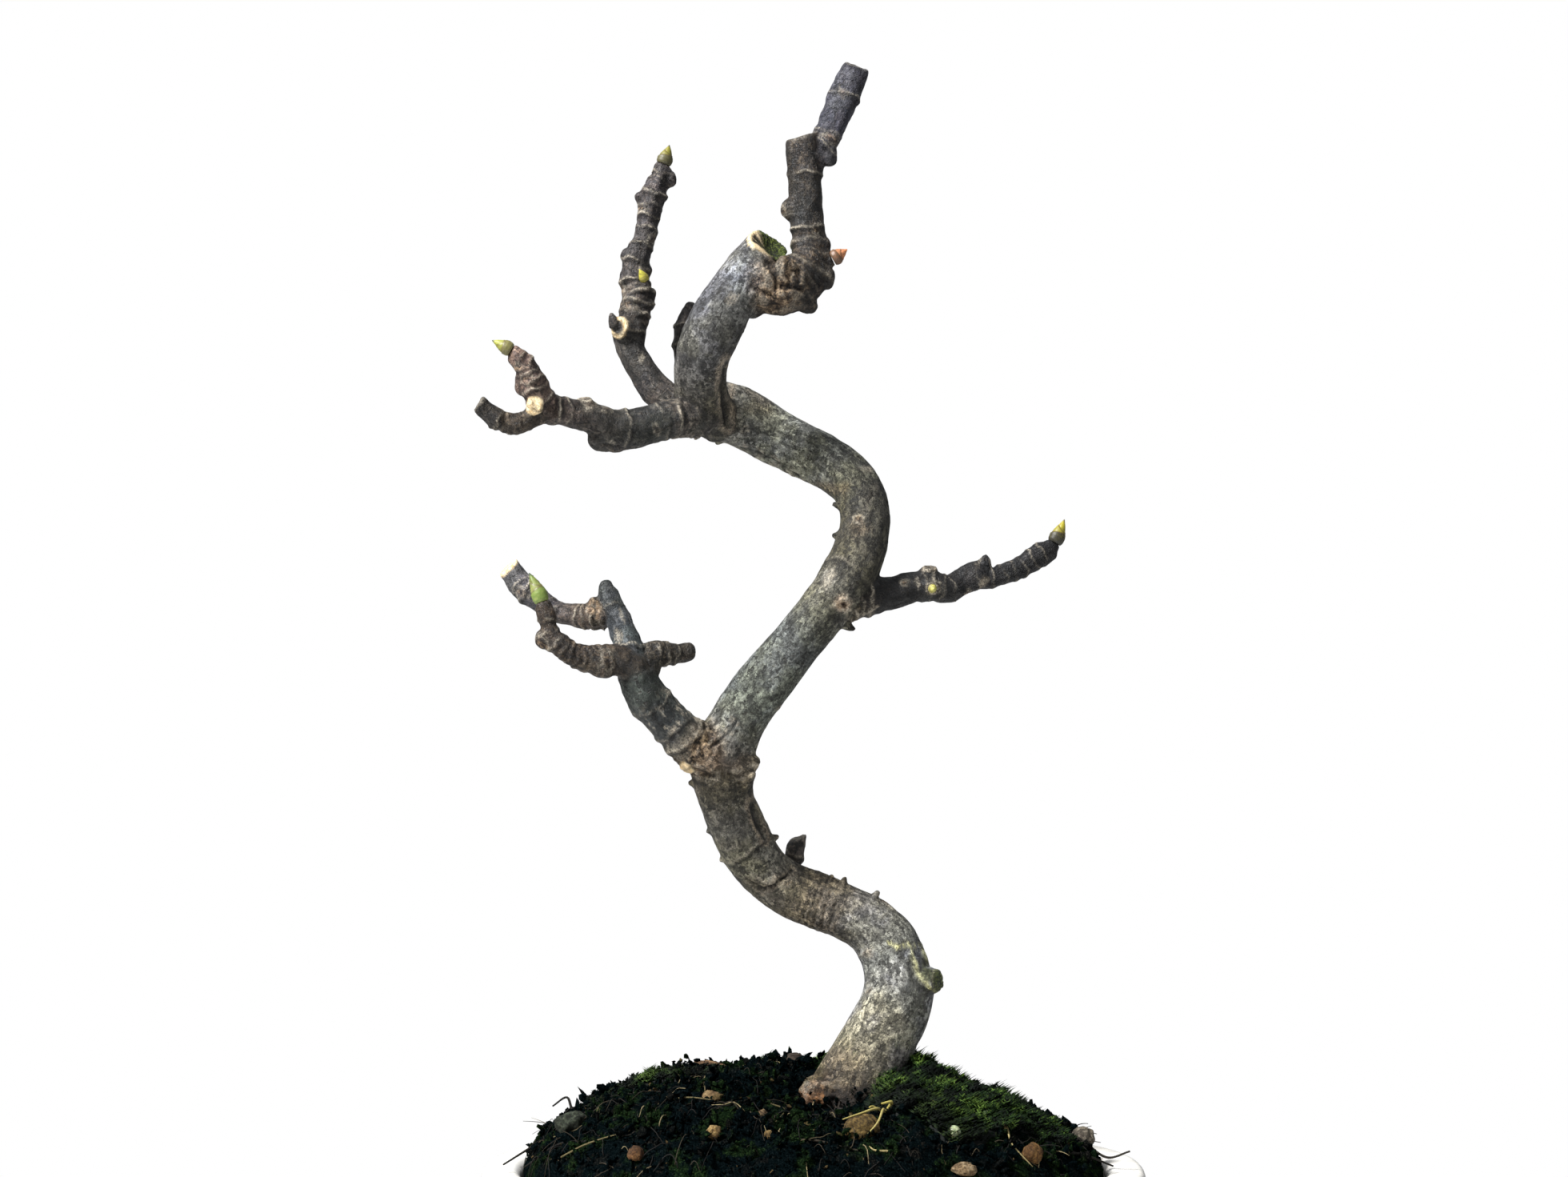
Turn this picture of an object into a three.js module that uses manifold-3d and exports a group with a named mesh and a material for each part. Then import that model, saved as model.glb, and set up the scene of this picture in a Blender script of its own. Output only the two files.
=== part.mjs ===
// Common fig bonsai: an old, hard pruned fig at bud break in a cream oval pot. Millimetres, +Z up.
// The origin is the middle of the footprint, on the ground under the feet. The front faces -Y.
// Everything that grows or lies above the pot is placed from the level of the pot's rim.

import * as THREE from 'three';
import { mergeVertices } from 'three/addons/utils/BufferGeometryUtils.js';
import Module from 'manifold-3d';

const wasm = await Module();
wasm.setup();

// Driving dimensions
const POT_HEIGHT = 58;
const POT_HALF_WIDTH = 93;
const POT_HALF_DEPTH = 69;
const POT_SQUARENESS = 2.35;
const POT_FLOOR = 5.5;
const FOOT_HEIGHT = 6;
const FOOT_RADIUS = 11;
const FOOT_X = 47;
const FOOT_Y = 28;
const DRAIN_RADIUS = 6;
const DRAIN_X = 33;
const SCREEN_SIZE = 22;
const SCREEN_THICKNESS = 0.8;
const SOIL_EDGE_DEPTH = 2;
const SOIL_RISE = 27;
const SOIL_RIGHT_DROP = 0.2;
const SEAT_GAP = 0.3;

// Section counts
const POT_SIDES = 48;
const SOIL_SIDES = 38;
const SOIL_RINGS = 9;
const TRUNK_SIDES = 14;
const LIMB_SIDES = 8;
const STUB_SIDES = 8;

const CAVITY_FLOOR = FOOT_HEIGHT + POT_FLOOR;

// Centre lines of the tree, from the soil up: x, y, z above the rim, radius
const TRUNK = [
  [-4, -2, -20, 8],
  [1, -2, -8, 12],
  [6, -1.5, 5, 12.8],
  [10, -0.5, 18, 11.4],
  [14.5, 0, 28, 10.3],
  [18.7, 1, 36, 10],
  [22.4, 2, 43.5, 9.9],
  [24, 3, 50, 9.9],
  [23.3, 5, 56, 9.2],
  [20.8, 7, 62, 9],
  [15.5, 9, 67, 8.1],
  [9, 11, 70, 8.2],
  [1, 12, 73, 8.4],
  [-7, 12, 76.5, 8],
  [-14, 9, 82.5, 7.6],
  [-19.7, 5, 92, 7.9],
  [-24.1, 1, 102, 7.5],
  [-25.5, -2, 109, 8.3],
  [-25, -4, 116.5, 8.3],
  [-20.5, -6, 125.5, 7.4],
  [-13, -8, 136.5, 7.4],
  [-4.6, -9, 147.5, 7],
  [3, -8, 156.5, 7.4],
  [9, -6, 164, 8.1],
  [12.5, -3, 171, 7.9],
  [14.5, 1, 179, 7.3],
  [14, 5, 185.8, 7.2],
  [11, 9, 192.2, 7.5],
  [2.5, 14, 199.2, 7.7],
  [-10.5, 18, 205.4, 7.7],
  [-21, 16, 211, 8.1],
  [-28, 12, 213, 8],
];
const TRUNK_TOP = [
  [-26, 12, 209, 6],
  [-30.5, 4, 213.5, 7],
  [-31.5, -4, 220.5, 7.1],
  [-31, -8, 226, 7.1],
  [-29.5, -11, 231, 7.5],
  [-26, -12, 238, 7.6],
  [-22, -11, 244.8, 7.1],
  [-17.5, -9, 251.6, 6.8],
  [-12.4, -7.6, 257.8, 6.5],
];
// The slanting face where the old leader was cut away, and the mossy bowl that has rotted into it
const LEADER_FACE = [0.56, -0.42, 0.72];
const LEADER_HOLLOW = { middle: [-11, -8.3, 258.5], reach: [5.2, 5.2, 4.4] };

// Every limb that leaves the trunk or another limb: stations, and the face of its end where it was cut
const LIMBS = {
  apex: {
    stations: [[-18, -8, 247, 5.4], [-11.5, -9, 246, 7.6], [-5, -8, 247.5, 7.2], [-0.9, -6, 253, 5.8],
      [-1.2, -4, 260, 4.6], [-1.8, -3, 267, 4.4], [-2.3, -2, 274.5, 4.4], [-2.6, -1, 281.5, 4.5],
      [-3, -0.5, 289.2, 4.6]],
    cut: [-0.25, -0.1, 0.97],
  },
  apexShoot: {
    stations: [[-2, -1, 279, 3.4], [1.8, 0, 285.5, 3.7], [4.3, 1, 290, 3.8], [6.3, 2, 295, 4],
      [8.7, 4, 301, 4.2], [10.8, 5, 306, 4.1], [12.4, 6, 309.8, 3.5]],
    cut: [0.35, -0.2, 0.9],
  },
  tall: {
    stations: [[-29, 8, 211, 5], [-34.5, 4.5, 211.5, 5.2], [-38.8, 5, 213.5, 5.1], [-44.6, 6, 218.5, 4.5],
      [-48.2, 7, 224, 4.1], [-51.6, 8, 230, 4.2], [-51.8, 9, 235, 4.6], [-50.6, 10, 240, 4.4],
      [-49.9, 11, 245.5, 4.3], [-50.8, 12, 250, 4], [-50, 13, 256.5, 3.7], [-48.3, 14, 261.5, 3.2],
      [-47.3, 15, 266.5, 3.1], [-46.3, 16, 271.5, 3.3], [-45.2, 17, 276, 3.4], [-43.4, 18, 279.6, 2.7],
      [-43, 18, 281.6, 2.4]],
  },
  back: {
    stations: [[-29, 9, 211, 3.6], [-33, 11, 217, 3], [-36, 15, 223, 2.7], [-37.4, 18, 229, 2.5],
      [-37.2, 21, 236.5, 2.7], [-35, 24, 243, 2.1]],
  },
  left: {
    stations: [[-26, 11, 212, 5], [-33, 1, 211, 6], [-39.5, -3, 210, 5.5], [-46, -6, 208, 5.6],
      [-51.5, -9, 206.6, 5.5], [-57, -12, 207, 5], [-61, -15, 209, 4.4], [-66, -18, 210.3, 3.9],
      [-71, -21, 211.2, 3.8], [-75.5, -23.5, 212, 4.2]],
  },
  leftShoot: {
    stations: [[-72, -22, 210, 3.2], [-76, -25, 216, 3.9], [-77.7, -26, 220.1, 3.3],
      [-79.3, -27, 223, 3], [-81.2, -28, 225.4, 2.5]],
  },
  leftSpur: {
    stations: [[-74, -23, 211, 3], [-79.5, -26, 208, 2.9], [-83, -28, 207.2, 3], [-86, -29.5, 208, 2.6],
      [-87.4, -30, 208.9, 2.9], [-89.9, -31, 210.9, 2.5], [-91.4, -32, 212.5, 2.3]],
    cut: [-0.8, -0.2, 0.5],
  },
  leftKnob: { stations: [[-47, -6, 207, 4], [-55, -10, 204.3, 4.2], [-60.2, -11, 203.6, 3]] },
  right: {
    stations: [[6, -6, 158, 5], [13.5, -6, 159.5, 5.2], [18.5, -4, 160.5, 4.7], [23, -2, 161, 4.4],
      [28, 0, 162.6, 4.3], [33, 1, 162.8, 4.6], [37.5, 2, 161.8, 3.8], [41.5, 4, 163.7, 3.7],
      [45.5, 5, 165.3, 4.3], [49.5, 6, 165, 3.1], [54, 7, 166.3, 2.9], [59.5, 9, 168.6, 3.2],
      [64, 10, 171.4, 3.6], [67, 11, 172.9, 3.2]],
  },
  low: {
    stations: [[-17, -4, 110, 5], [-25.6, -5, 114.2, 7.2], [-32.8, -7, 118.3, 7], [-37.6, -9, 122.2, 6.2],
      [-42.4, -11, 127.2, 5.9], [-46.9, -13, 132.8, 6.1], [-49.3, -14, 138.5, 5.4]],
  },
  lowLeader: {
    stations: [[-46, -13, 133, 4], [-50.5, -13.5, 141.5, 4.6], [-51.5, -13, 146, 4.2],
      [-53.2, -11, 150.8, 3.8], [-55.6, -9, 156, 3.5], [-57.2, -7.5, 160.5, 2.8], [-58, -6.5, 163, 1.9]],
  },
  lowSide: {
    stations: [[-52, -10.5, 153, 2.6], [-57, -8.5, 154.4, 3.4], [-60.5, -8, 154.4, 3.8],
      [-66, -7, 154.5, 3.3], [-71, -6, 155.4, 3], [-75.4, -5, 157.8, 3.2], [-80, -4, 161.6, 3.6],
      [-83, -3, 164.8, 3.4], [-85.6, -2.3, 168.4, 3.1]],
    cut: [-0.66, -0.2, 0.7],
  },
  lowFront: {
    stations: [[-46, -13, 134.5, 3.4], [-49.5, -15, 140, 4.4], [-54, -17, 142.4, 4.1],
      [-58.5, -18.5, 142.5, 4], [-63.5, -20, 142.9, 3.4], [-68, -21.5, 145.2, 3],
      [-71.5, -22, 148.2, 2.6], [-73, -21.5, 151.5, 2.1], [-73.7, -21, 154.5, 2.4],
      [-74.5, -20.3, 156.8, 2.3]],
  },
  lowStub: {
    stations: [[-47, -13, 137, 3.6], [-45, -12, 143.5, 3.6], [-41.5, -10, 144, 3.1], [-38, -8, 143.8, 2.5],
      [-35, -6.5, 144.2, 2.7]],
  },
  bendStub: {
    stations: [[-7, 14, 76, 3.4], [-6.3, 18, 83, 2.4], [-4.9, 19, 87.2, 2.6], [-4.2, 20, 90.6, 2.3]],
    cut: [-0.35, -0.2, 0.9],
  },
};

// Roots that leave the foot of the trunk and dive into the soil
const ROOTS = [
  [[8, -1, 22, 8], [1, -3, 14, 6.4], [-8, -6, 4, 4.2], [-14, -9, -7, 2.4]],
  [[8, -3, 12, 8], [14, -12, 8, 5], [18, -21, -1, 3.4], [20, -27, -10, 2]],
  [[12, 2, 20, 8], [22, 8, 13, 5.2], [32, 13, 3, 3.2], [38, 15, -7, 2]],
];

// Pruning stubs and leaf scars with a flat face: foot, the way they point, length, radius, narrowing
const STUBS = [
  { at: [26.6, 1, 51.6], aim: [0.88, -0.46, 0.06], length: 9.6, radius: 6.4, taper: 0.52 },
  { at: [2, -6, 253], aim: [1, -0.1, 0.35], length: 3.4, radius: 2.6, taper: 0.85 },
  { at: [-51, 8, 235], aim: [-0.63, -0.76, 0.12], length: 6.2, radius: 3.5, taper: 0.9 },
  { at: [-76, -23.5, 212], aim: [-0.1, -1, 0], length: 5.4, radius: 2.8, taper: 0.85 },
  { at: [-63, -15, 210], aim: [-0.1, -0.4, 1], length: 4.9, radius: 2.5, taper: 0.85 },
  { at: [32.5, 1, 163.8], aim: [0, -0.3, 1], length: 4.5, radius: 2.5, taper: 0.85 },
  { at: [32.8, 0, 162.5], aim: [0.1, -1, -0.1], length: 4.2, radius: 2.1, taper: 0.8 },
  { at: [-32.8, -8, 115.4], aim: [-0.6, -0.5, -0.75], length: 5.2, radius: 3.2, taper: 0.7 },
  { at: [8.6, -12, 157.6], aim: [-0.1, -1, 0.1], length: 2.2, radius: 2.4, taper: 0.75 },
];

// Knobs, dormant buds and callus: middle, half sizes along x, y and z
const KNOBS = [
  [[-6.4, -3, 268.2], [2.6, 2.2, 3.4]],
  [[4.3, -1, 284.5], [2.4, 2.4, 4]],
  [[-1.6, -8, 241.6], [3, 3, 2.8]],
  [[3.8, -7, 249], [2.4, 2.8, 3.4]],
  [[2.8, -5, 258.4], [2.2, 2.4, 2.4]],
  [[-17, -8, 240.5], [3.6, 4, 3.2]],
  [[-13, -15, 247.5], [3.4, 2.6, 4.2]],
  [[-8, -14.2, 251], [2.6, 2.4, 3]],
  [[-9.5, -15, 243.5], [3.4, 2.4, 2.8]],
  [[-46.6, 11, 245.6], [2.2, 2.2, 2.6]],
  [[-47.6, 12.5, 252.4], [1.9, 2, 2.2]],
  [[-53, 13, 256.8], [1.8, 2, 2.4]],
  [[-49.2, 16, 273.8], [1.8, 1.9, 1.8]],
  [[-40.6, 18, 279.2], [2, 1.7, 2.4]],
  [[-80, -25.5, 218.2], [2.2, 2, 3.6]],
  [[48.8, 5, 169.2], [1.7, 1.6, 2.6]],
  [[-61, -8, 158], [1.9, 1.8, 1.8]],
  [[-74.6, -22, 148.2], [2.1, 2, 2.6]],
  [[-58, -19, 139.6], [3, 2.6, 2.4]],
  [[-33, -11.5, 121], [3.4, 2.8, 3.4]],
  [[-48.5, -18.2, 137], [2.4, 2.2, 3]],
  [[-60.8, -15.5, 203.8], [1.8, 2, 2]],
  [[5.4, 9, 75.4], [4.2, 4, 3.6]],
  [[-21, 15, 216.6], [4.6, 4, 3.4]],
];

// Callus at the foot of the trunk, where the first root leaves it
const COLLAR = [[1.5, -5, 20.5], [6.6, 7, 5.4]];

// Small spines and dead bud points on the trunk: foot, the way they point
const SPINES = [
  [[-32.8, -2, 107.4], [-1, 0, 0.1]],
  [[-27.8, 2, 93.4], [-1, 0, 0.2]],
  [[-24.4, 6, 86.2], [-0.9, 0, -0.5]],
  [[-56.4, 3.6, 237.8], [-0.2, -0.2, 1]],
  [[-11.8, 4, 91.5], [1, 0, 0.3]],
  [[5, 10, 78.6], [0.2, 0, 1]],
  [[8.4, 9, 78.2], [0.4, 0, 1]],
  [[17.2, 6, 74.6], [0.6, 0, 0.8]],
  [[9.6, -7, 151.6], [0.9, 0, -0.5]],
  [[7.6, 1, 185.5], [-1, 0, 0.2]],
  [[7.6, -1, 177], [-1, 0, 0]],
  [[-21.6, -11, 233.5], [1, 0, 0.1]],
  [[-26, 16, 205], [-0.7, 0, -0.7]],
];

// Buds that are opening: foot, tip, radius at the foot and colour
const BUDS = {
  bud_tall_tip: { foot: [-42.8, 18.1, 283.6], tip: [-40.7, 18.6, 289], radius: 2.1, color: 0x7c7a2e },
  bud_tall_side: { foot: [-47.6, 8, 249.4], tip: [-49, 6.2, 252.6], radius: 1.3, color: 0xc9c25a },
  bud_left_tip: { foot: [-82.8, -28.2, 227.2], tip: [-87.8, -28.6, 230.2], radius: 1.9, color: 0x8a8433 },
  bud_low_front_tip: { foot: [-74.9, -20.1, 158.4], tip: [-78, -19.6, 166.6], radius: 2.1, color: 0x86a23a },
  bud_right_tip: { foot: [68.7, 11.6, 175.1], tip: [72, 12, 181.6], radius: 2.1, color: 0xa3a148 },
  bud_right_side: { foot: [33.2, -4.2, 162.2], tip: [33.8, -6, 161.8], radius: 1.2, color: 0xb4b253 },
  bud_apex_side: { foot: [5.4, -6.4, 254.2], tip: [9.6, -6.8, 256.6], radius: 2.1, color: 0xc07a48 },
};

function paint(color, roughness) {
  return new THREE.MeshStandardMaterial({ color, roughness, metalness: 0 });
}

const PALETTE = {
  bark: () => paint(0x8f8a80, 0.72),
  soil: () => paint(0x1e1a16, 0.95),
  moss: () => paint(0x4b6a22, 0.95),
  bead: () => paint(0xd7dcc0, 0.45),
  glaze: () => paint(0xe9dfcb, 0.3),
  screen: () => paint(0x25282a, 0.6),
};

// A gentle, repeatable ripple between about -1 and 1
function ripple(x, y, z) {
  const broad = Math.sin(x * 1.7 + 1.3 * Math.sin(z * 0.9 + y)) * Math.cos(y * 1.3 + z * 0.8);
  const fine = Math.sin(x * 3.9 - z * 2.1 + 2) * Math.cos(y * 4.3 + x * 1.1);
  return broad * 0.65 + fine * 0.35;
}

function solidOf(geometry) {
  const bare = geometry.clone();
  bare.deleteAttribute('normal');
  bare.deleteAttribute('uv');
  const merged = mergeVertices(bare, 1e-4);
  return new wasm.Manifold(new wasm.Mesh({
    numProp: 3,
    vertProperties: new Float32Array(merged.attributes.position.array),
    triVerts: new Uint32Array(merged.index.array),
  }));
}

function geometryOf(solid) {
  const mesh = solid.getMesh();
  const geometry = new THREE.BufferGeometry();
  geometry.setAttribute('position', new THREE.BufferAttribute(new Float32Array(mesh.vertProperties), 3));
  geometry.setIndex(new THREE.BufferAttribute(new Uint32Array(mesh.triVerts), 1));
  geometry.computeVertexNormals();
  return geometry;
}

function joined(solids) {
  return solids.reduce((whole, next) => whole.add(next));
}

function cutBack(solid, tools) {
  return tools.reduce((rest, tool) => rest.subtract(tool), solid);
}

// The largest body of a solid, once loose scraps are dropped
function mainBody(solid) {
  const bodies = solid.decompose();
  return bodies.reduce((best, next) => (next.volume() > best.volume() ? next : best));
}

// Closed skin over a row of rings with equally many points, shut by a point at each end
function skin(rings, firstPole, lastPole) {
  const sides = rings[0].length;
  const points = [firstPole, ...rings.flat(), lastPole];
  const indices = [];
  const last = points.length - 1;
  for (let k = 0; k < sides; k += 1) {
    const next = (k + 1) % sides;
    indices.push(0, 1 + next, 1 + k);
    const top = 1 + (rings.length - 1) * sides;
    indices.push(last, top + k, top + next);
    for (let ring = 0; ring < rings.length - 1; ring += 1) {
      const low = 1 + ring * sides;
      const high = low + sides;
      indices.push(low + k, low + next, high + next);
      indices.push(low + k, high + next, high + k);
    }
  }
  const geometry = new THREE.BufferGeometry();
  geometry.setFromPoints(points);
  geometry.setIndex(indices);
  geometry.computeVertexNormals();
  return geometry;
}

// Uneven woody section: a factor on the radius, by the angle and the distance along the limb
function woodySection(angle, along, seed) {
  const ribs = 0.05 * Math.sin(2 * angle + seed + along * 0.06)
    + 0.032 * Math.sin(3 * angle + 2.1 * seed - along * 0.11)
    + 0.018 * Math.sin(5 * angle + 3.7 * seed + along * 0.17);
  return 1 + ribs;
}

// A limb lofted along its centre line. `grow` thickens it all round, for the socket that holds it.
function limb(stations, { sides = LIMB_SIDES, step = 5, seed = 1, cut = null, grow = 0 } = {}) {
  const centreLine = stations.map(([x, y, z]) => new THREE.Vector3(x, y, z));
  const line = new THREE.CatmullRomCurve3(centreLine, false, 'centripetal');
  const girth = new THREE.SplineCurve(stations.map((station, k) => new THREE.Vector2(k, station[3])));
  const spans = stations.length - 1;
  const stops = [];
  for (let span = 0; span < spans; span += 1) {
    const parts = Math.max(1, Math.round(centreLine[span].distanceTo(centreLine[span + 1]) / step));
    for (let part = 0; part < parts; part += 1) stops.push((span + part / parts) / spans);
  }
  stops.push(1);

  const rings = [];
  let across = new THREE.Vector3(0, -1, 0);
  let along = 0;
  let before = line.getPoint(0);
  const centres = [];
  const tangents = [];
  stops.forEach((stop) => {
    const centre = line.getPoint(stop);
    const tangent = line.getTangent(stop);
    along += centre.distanceTo(before);
    before = centre;
    across = across.clone().addScaledVector(tangent, -across.dot(tangent)).normalize();
    const beside = new THREE.Vector3().crossVectors(tangent, across);
    const radius = girth.getPoint(stop).y;
    centres.push(centre);
    tangents.push(tangent);
    rings.push(Array.from({ length: sides }, (_, k) => {
      const angle = (2 * Math.PI * k) / sides;
      const reach = radius * woodySection(angle, along, seed) + grow;
      return centre.clone()
        .addScaledVector(across, Math.cos(angle) * reach)
        .addScaledVector(beside, Math.sin(angle) * reach);
    }));
  });

  const startPole = centres[0].clone().addScaledVector(tangents[0], -grow);
  rings[0].forEach((point) => point.addScaledVector(tangents[0], -grow));
  const endCentre = centres.at(-1);
  const endTangent = tangents.at(-1);
  const endRadius = stations.at(-1)[3] + grow;
  if (cut) {
    const face = new THREE.Vector3(...cut).normalize();
    rings.at(-1).forEach((point) => {
      const offset = point.clone().sub(endCentre);
      point.addScaledVector(endTangent, -offset.dot(face) / endTangent.dot(face) + grow);
    });
    return skin(rings, startPole, endCentre.clone().addScaledVector(endTangent, grow));
  }
  [[0.42, 0.82], [0.68, 0.5]].forEach(([rise, narrow]) => {
    rings.push(rings[stops.length - 1].map((point) => endCentre.clone()
      .addScaledVector(endTangent, rise * endRadius)
      .addScaledVector(point.clone().sub(endCentre), narrow)));
  });
  return skin(rings, startPole, endCentre.clone().addScaledVector(endTangent, 0.78 * endRadius));
}

// A pruning stub that leaves its limb in the direction of `aim` and ends in a flat face
function stub({ at, aim, length, radius, taper }, seed) {
  const foot = new THREE.Vector3(...at);
  const way = new THREE.Vector3(...aim).normalize();
  const stations = [0, 0.6, 1].map((stop) => {
    const point = foot.clone().addScaledVector(way, length * stop);
    return [point.x, point.y, point.z, radius * (1 + (taper - 1) * stop)];
  });
  return limb(stations, { sides: STUB_SIDES, step: 9, seed, cut: way.toArray() });
}

function knob([middle, reach]) {
  return new THREE.SphereGeometry(1, 7, 4).scale(...reach).translate(...middle);
}

function spine([at, aim], seed) {
  const way = new THREE.Vector3(...aim).normalize();
  const stations = [[-2, 1.6], [0.6, 1.2], [2.4, 0.5]].map(([reach, radius]) => {
    const point = new THREE.Vector3(...at).addScaledVector(way, reach);
    return [point.x, point.y, point.z, radius];
  });
  return limb(stations, { sides: 5, step: 9, seed, cut: way.toArray() });
}

function leaderHollow() {
  const bowl = new THREE.SphereGeometry(1, 14, 9).scale(...LEADER_HOLLOW.reach);
  const face = new THREE.Vector3(...LEADER_FACE).normalize();
  bowl.applyQuaternion(new THREE.Quaternion().setFromUnitVectors(new THREE.Vector3(0, 0, 1), face));
  bowl.translate(...LEADER_HOLLOW.middle);
  return solidOf(bowl);
}

function rootedLimbs(grow) {
  const trunk = solidOf(limb(TRUNK, { sides: TRUNK_SIDES, step: 6, seed: 2, grow }));
  const roots = ROOTS.map((root, k) => solidOf(limb(root, { step: 6, seed: 11 + k, grow })));
  const [middle, reach] = COLLAR;
  const collar = solidOf(knob([middle, reach.map((half) => half + 1.6 * grow)]));
  return joined([trunk, collar, ...roots]);
}

function treeSolid() {
  const limbs = Object.values(LIMBS)
    .map(({ stations, cut }, k) => solidOf(limb(stations, { seed: 3 + k, cut })));
  const top = solidOf(limb(TRUNK_TOP, { sides: TRUNK_SIDES, step: 6, seed: 5, cut: LEADER_FACE }));
  const stubs = STUBS.map((entry, k) => solidOf(stub(entry, 20 + k)));
  const knobs = KNOBS.map((entry) => solidOf(knob(entry)));
  const spines = SPINES.map((entry, k) => solidOf(spine(entry, 60 + k)));
  const whole = joined([rootedLimbs(0), top, ...limbs, ...stubs, ...knobs, ...spines]);
  return cutBack(whole, [leaderHollow()]);
}

// A pointed bud wrapped in scales, standing on its foot along +Z
function budGeometry(length, radius) {
  const profile = [[0, 0.9], [0.12, 1], [0.3, 1.04], [0.34, 0.93], [0.52, 0.82], [0.56, 0.7],
    [0.76, 0.46], [0.9, 0.22]];
  const points = [new THREE.Vector2(0, 0)];
  profile.forEach(([rise, girth]) => points.push(new THREE.Vector2(radius * girth, length * rise)));
  points.push(new THREE.Vector2(0, length));
  const geometry = new THREE.LatheGeometry(points, 7);
  geometry.rotateX(Math.PI / 2);
  return geometryOf(solidOf(geometry));
}

// Outline of the pot and of what fills it: a soft oval that bows out along its long sides
function oval(angle, halfWidth, halfDepth) {
  const cosine = Math.cos(angle);
  const sine = Math.sin(angle);
  const power = Math.abs(cosine) ** POT_SQUARENESS + Math.abs(sine) ** POT_SQUARENESS;
  const reach = power ** (-1 / POT_SQUARENESS);
  return [halfWidth * reach * cosine, halfDepth * reach * sine];
}

function ovalRing(inset, height, sides) {
  return Array.from({ length: sides }, (_, k) => {
    const angle = (2 * Math.PI * k) / sides;
    const [x, y] = oval(angle, POT_HALF_WIDTH - inset, POT_HALF_DEPTH - inset);
    return new THREE.Vector3(x, y, height);
  });
}

// Cavity of the pot: how far its wall lies inside the lip's outer edge at a height over the ground
const CAVITY_WALL = [[CAVITY_FLOOR, 23], [CAVITY_FLOOR + 2.5, 19.5], [32, 14.5], [55, 11.5]];
const CAVITY_MOUTH = [[POT_HEIGHT - 0.6, 10.2], [POT_HEIGHT, 9.4]];

function potSolid() {
  const outside = [[FOOT_HEIGHT, 19], [FOOT_HEIGHT + 1.2, 16.5], [12, 13], [30, 9.6], [46, 7.4], [49, 5.2],
    [50.5, 1.2], [52, 0], [POT_HEIGHT - 1.8, 0], [POT_HEIGHT - 0.5, 0.6], [POT_HEIGHT, 1.8]];
  const inside = [...CAVITY_WALL, ...CAVITY_MOUTH].reverse();
  const rings = [...outside, ...inside].map(([height, inset]) => ovalRing(inset, height, POT_SIDES));
  const floorTop = new THREE.Vector3(0, 0, CAVITY_FLOOR);
  const bowl = solidOf(skin(rings, new THREE.Vector3(0, 0, FOOT_HEIGHT), floorTop));
  const feet = [];
  const drains = [];
  [-1, 1].forEach((sideways) => {
    const drain = new THREE.CylinderGeometry(DRAIN_RADIUS, DRAIN_RADIUS, 3 * POT_FLOOR, 20);
    drain.rotateX(Math.PI / 2);
    drain.translate(sideways * DRAIN_X, 0, CAVITY_FLOOR);
    drains.push(solidOf(drain));
    [-1, 1].forEach((forward) => {
      const foot = new THREE.CylinderGeometry(FOOT_RADIUS, FOOT_RADIUS - 1.5, FOOT_HEIGHT + 2, 20);
      foot.rotateX(Math.PI / 2);
      foot.translate(sideways * FOOT_X, forward * FOOT_Y, FOOT_HEIGHT / 2 + 1);
      feet.push(solidOf(foot));
    });
  });
  return cutBack(joined([bowl, ...feet]), drains);
}

// Height of the soil over the rim. In front of the trunk it dips, which bares the foot of the tree.
const TRUNK_DIP = { at: [4, -19], reach: [17, 15], depth: 12 };

function soilHeight(x, y) {
  const halfWidth = POT_HALF_WIDTH - 11.4;
  const halfDepth = POT_HALF_DEPTH - 11.4;
  const share = (Math.abs(x / halfWidth) ** POT_SQUARENESS + Math.abs(y / halfDepth) ** POT_SQUARENESS)
    ** (1 / POT_SQUARENESS);
  const rightward = Math.min(1, Math.max(0, (x - 22) / 46));
  const crown = (SOIL_RISE + SOIL_EDGE_DEPTH) * (1 - SOIL_RIGHT_DROP * rightward);
  const mound = crown * Math.max(0, 1 - share ** 2.1) ** 0.56;
  const lumps = 1.5 * ripple(x / 7, y / 7, 0.4) + 0.7 * ripple(x / 3.1, y / 3.1, 1.9);
  const edgeFade = Math.min(1, Math.max(0, 1 - share) * 9);
  const trunkHump = 3 * Math.exp(-((x - 32) ** 2 + (y + 1) ** 2) / 60);
  const sideways = (x - TRUNK_DIP.at[0]) / TRUNK_DIP.reach[0];
  const forward = (y - TRUNK_DIP.at[1]) / TRUNK_DIP.reach[1];
  const dip = TRUNK_DIP.depth * Math.exp(-(sideways ** 2) - forward ** 2);
  return mound - SOIL_EDGE_DEPTH + lumps * edgeFade + trunkHump - dip;
}

// Roots that run out of the mound at its edge: points x, y and height over the soil
const STRANDS = [
  [[-58, -30, -1.4], [-70, -22, 0.9], [-80, -16, 4]],
  [[-58, -10, -1.4], [-67, -6, 1.4], [-69, -4, 5.8], [-73, -3, 7]],
  [[-66, 0, -1.4], [-77, -7, 1], [-86, -14, 4.4]],
  [[62, -30, -1.4], [73, -21, 1], [83, -14, 4]],
  [[64, 2, -1.4], [74, -3, 1.6], [82, -8, 5.4], [88, -10, 7.4]],
  [[-12, -47, -1.2], [-2, -46.5, 0.5], [10, -48, 0.5], [22, -49, -1.2]],
];
const STRAND_RADIUS = 0.75;

function strandSolid(points, seed) {
  const stations = points.map(([x, y, over], k) => {
    const thin = 1 - (0.45 * k) / (points.length - 1);
    return [x, y, soilHeight(x, y) + over, STRAND_RADIUS * thin];
  });
  return solidOf(limb(stations, { sides: 5, step: 5, seed }));
}

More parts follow.
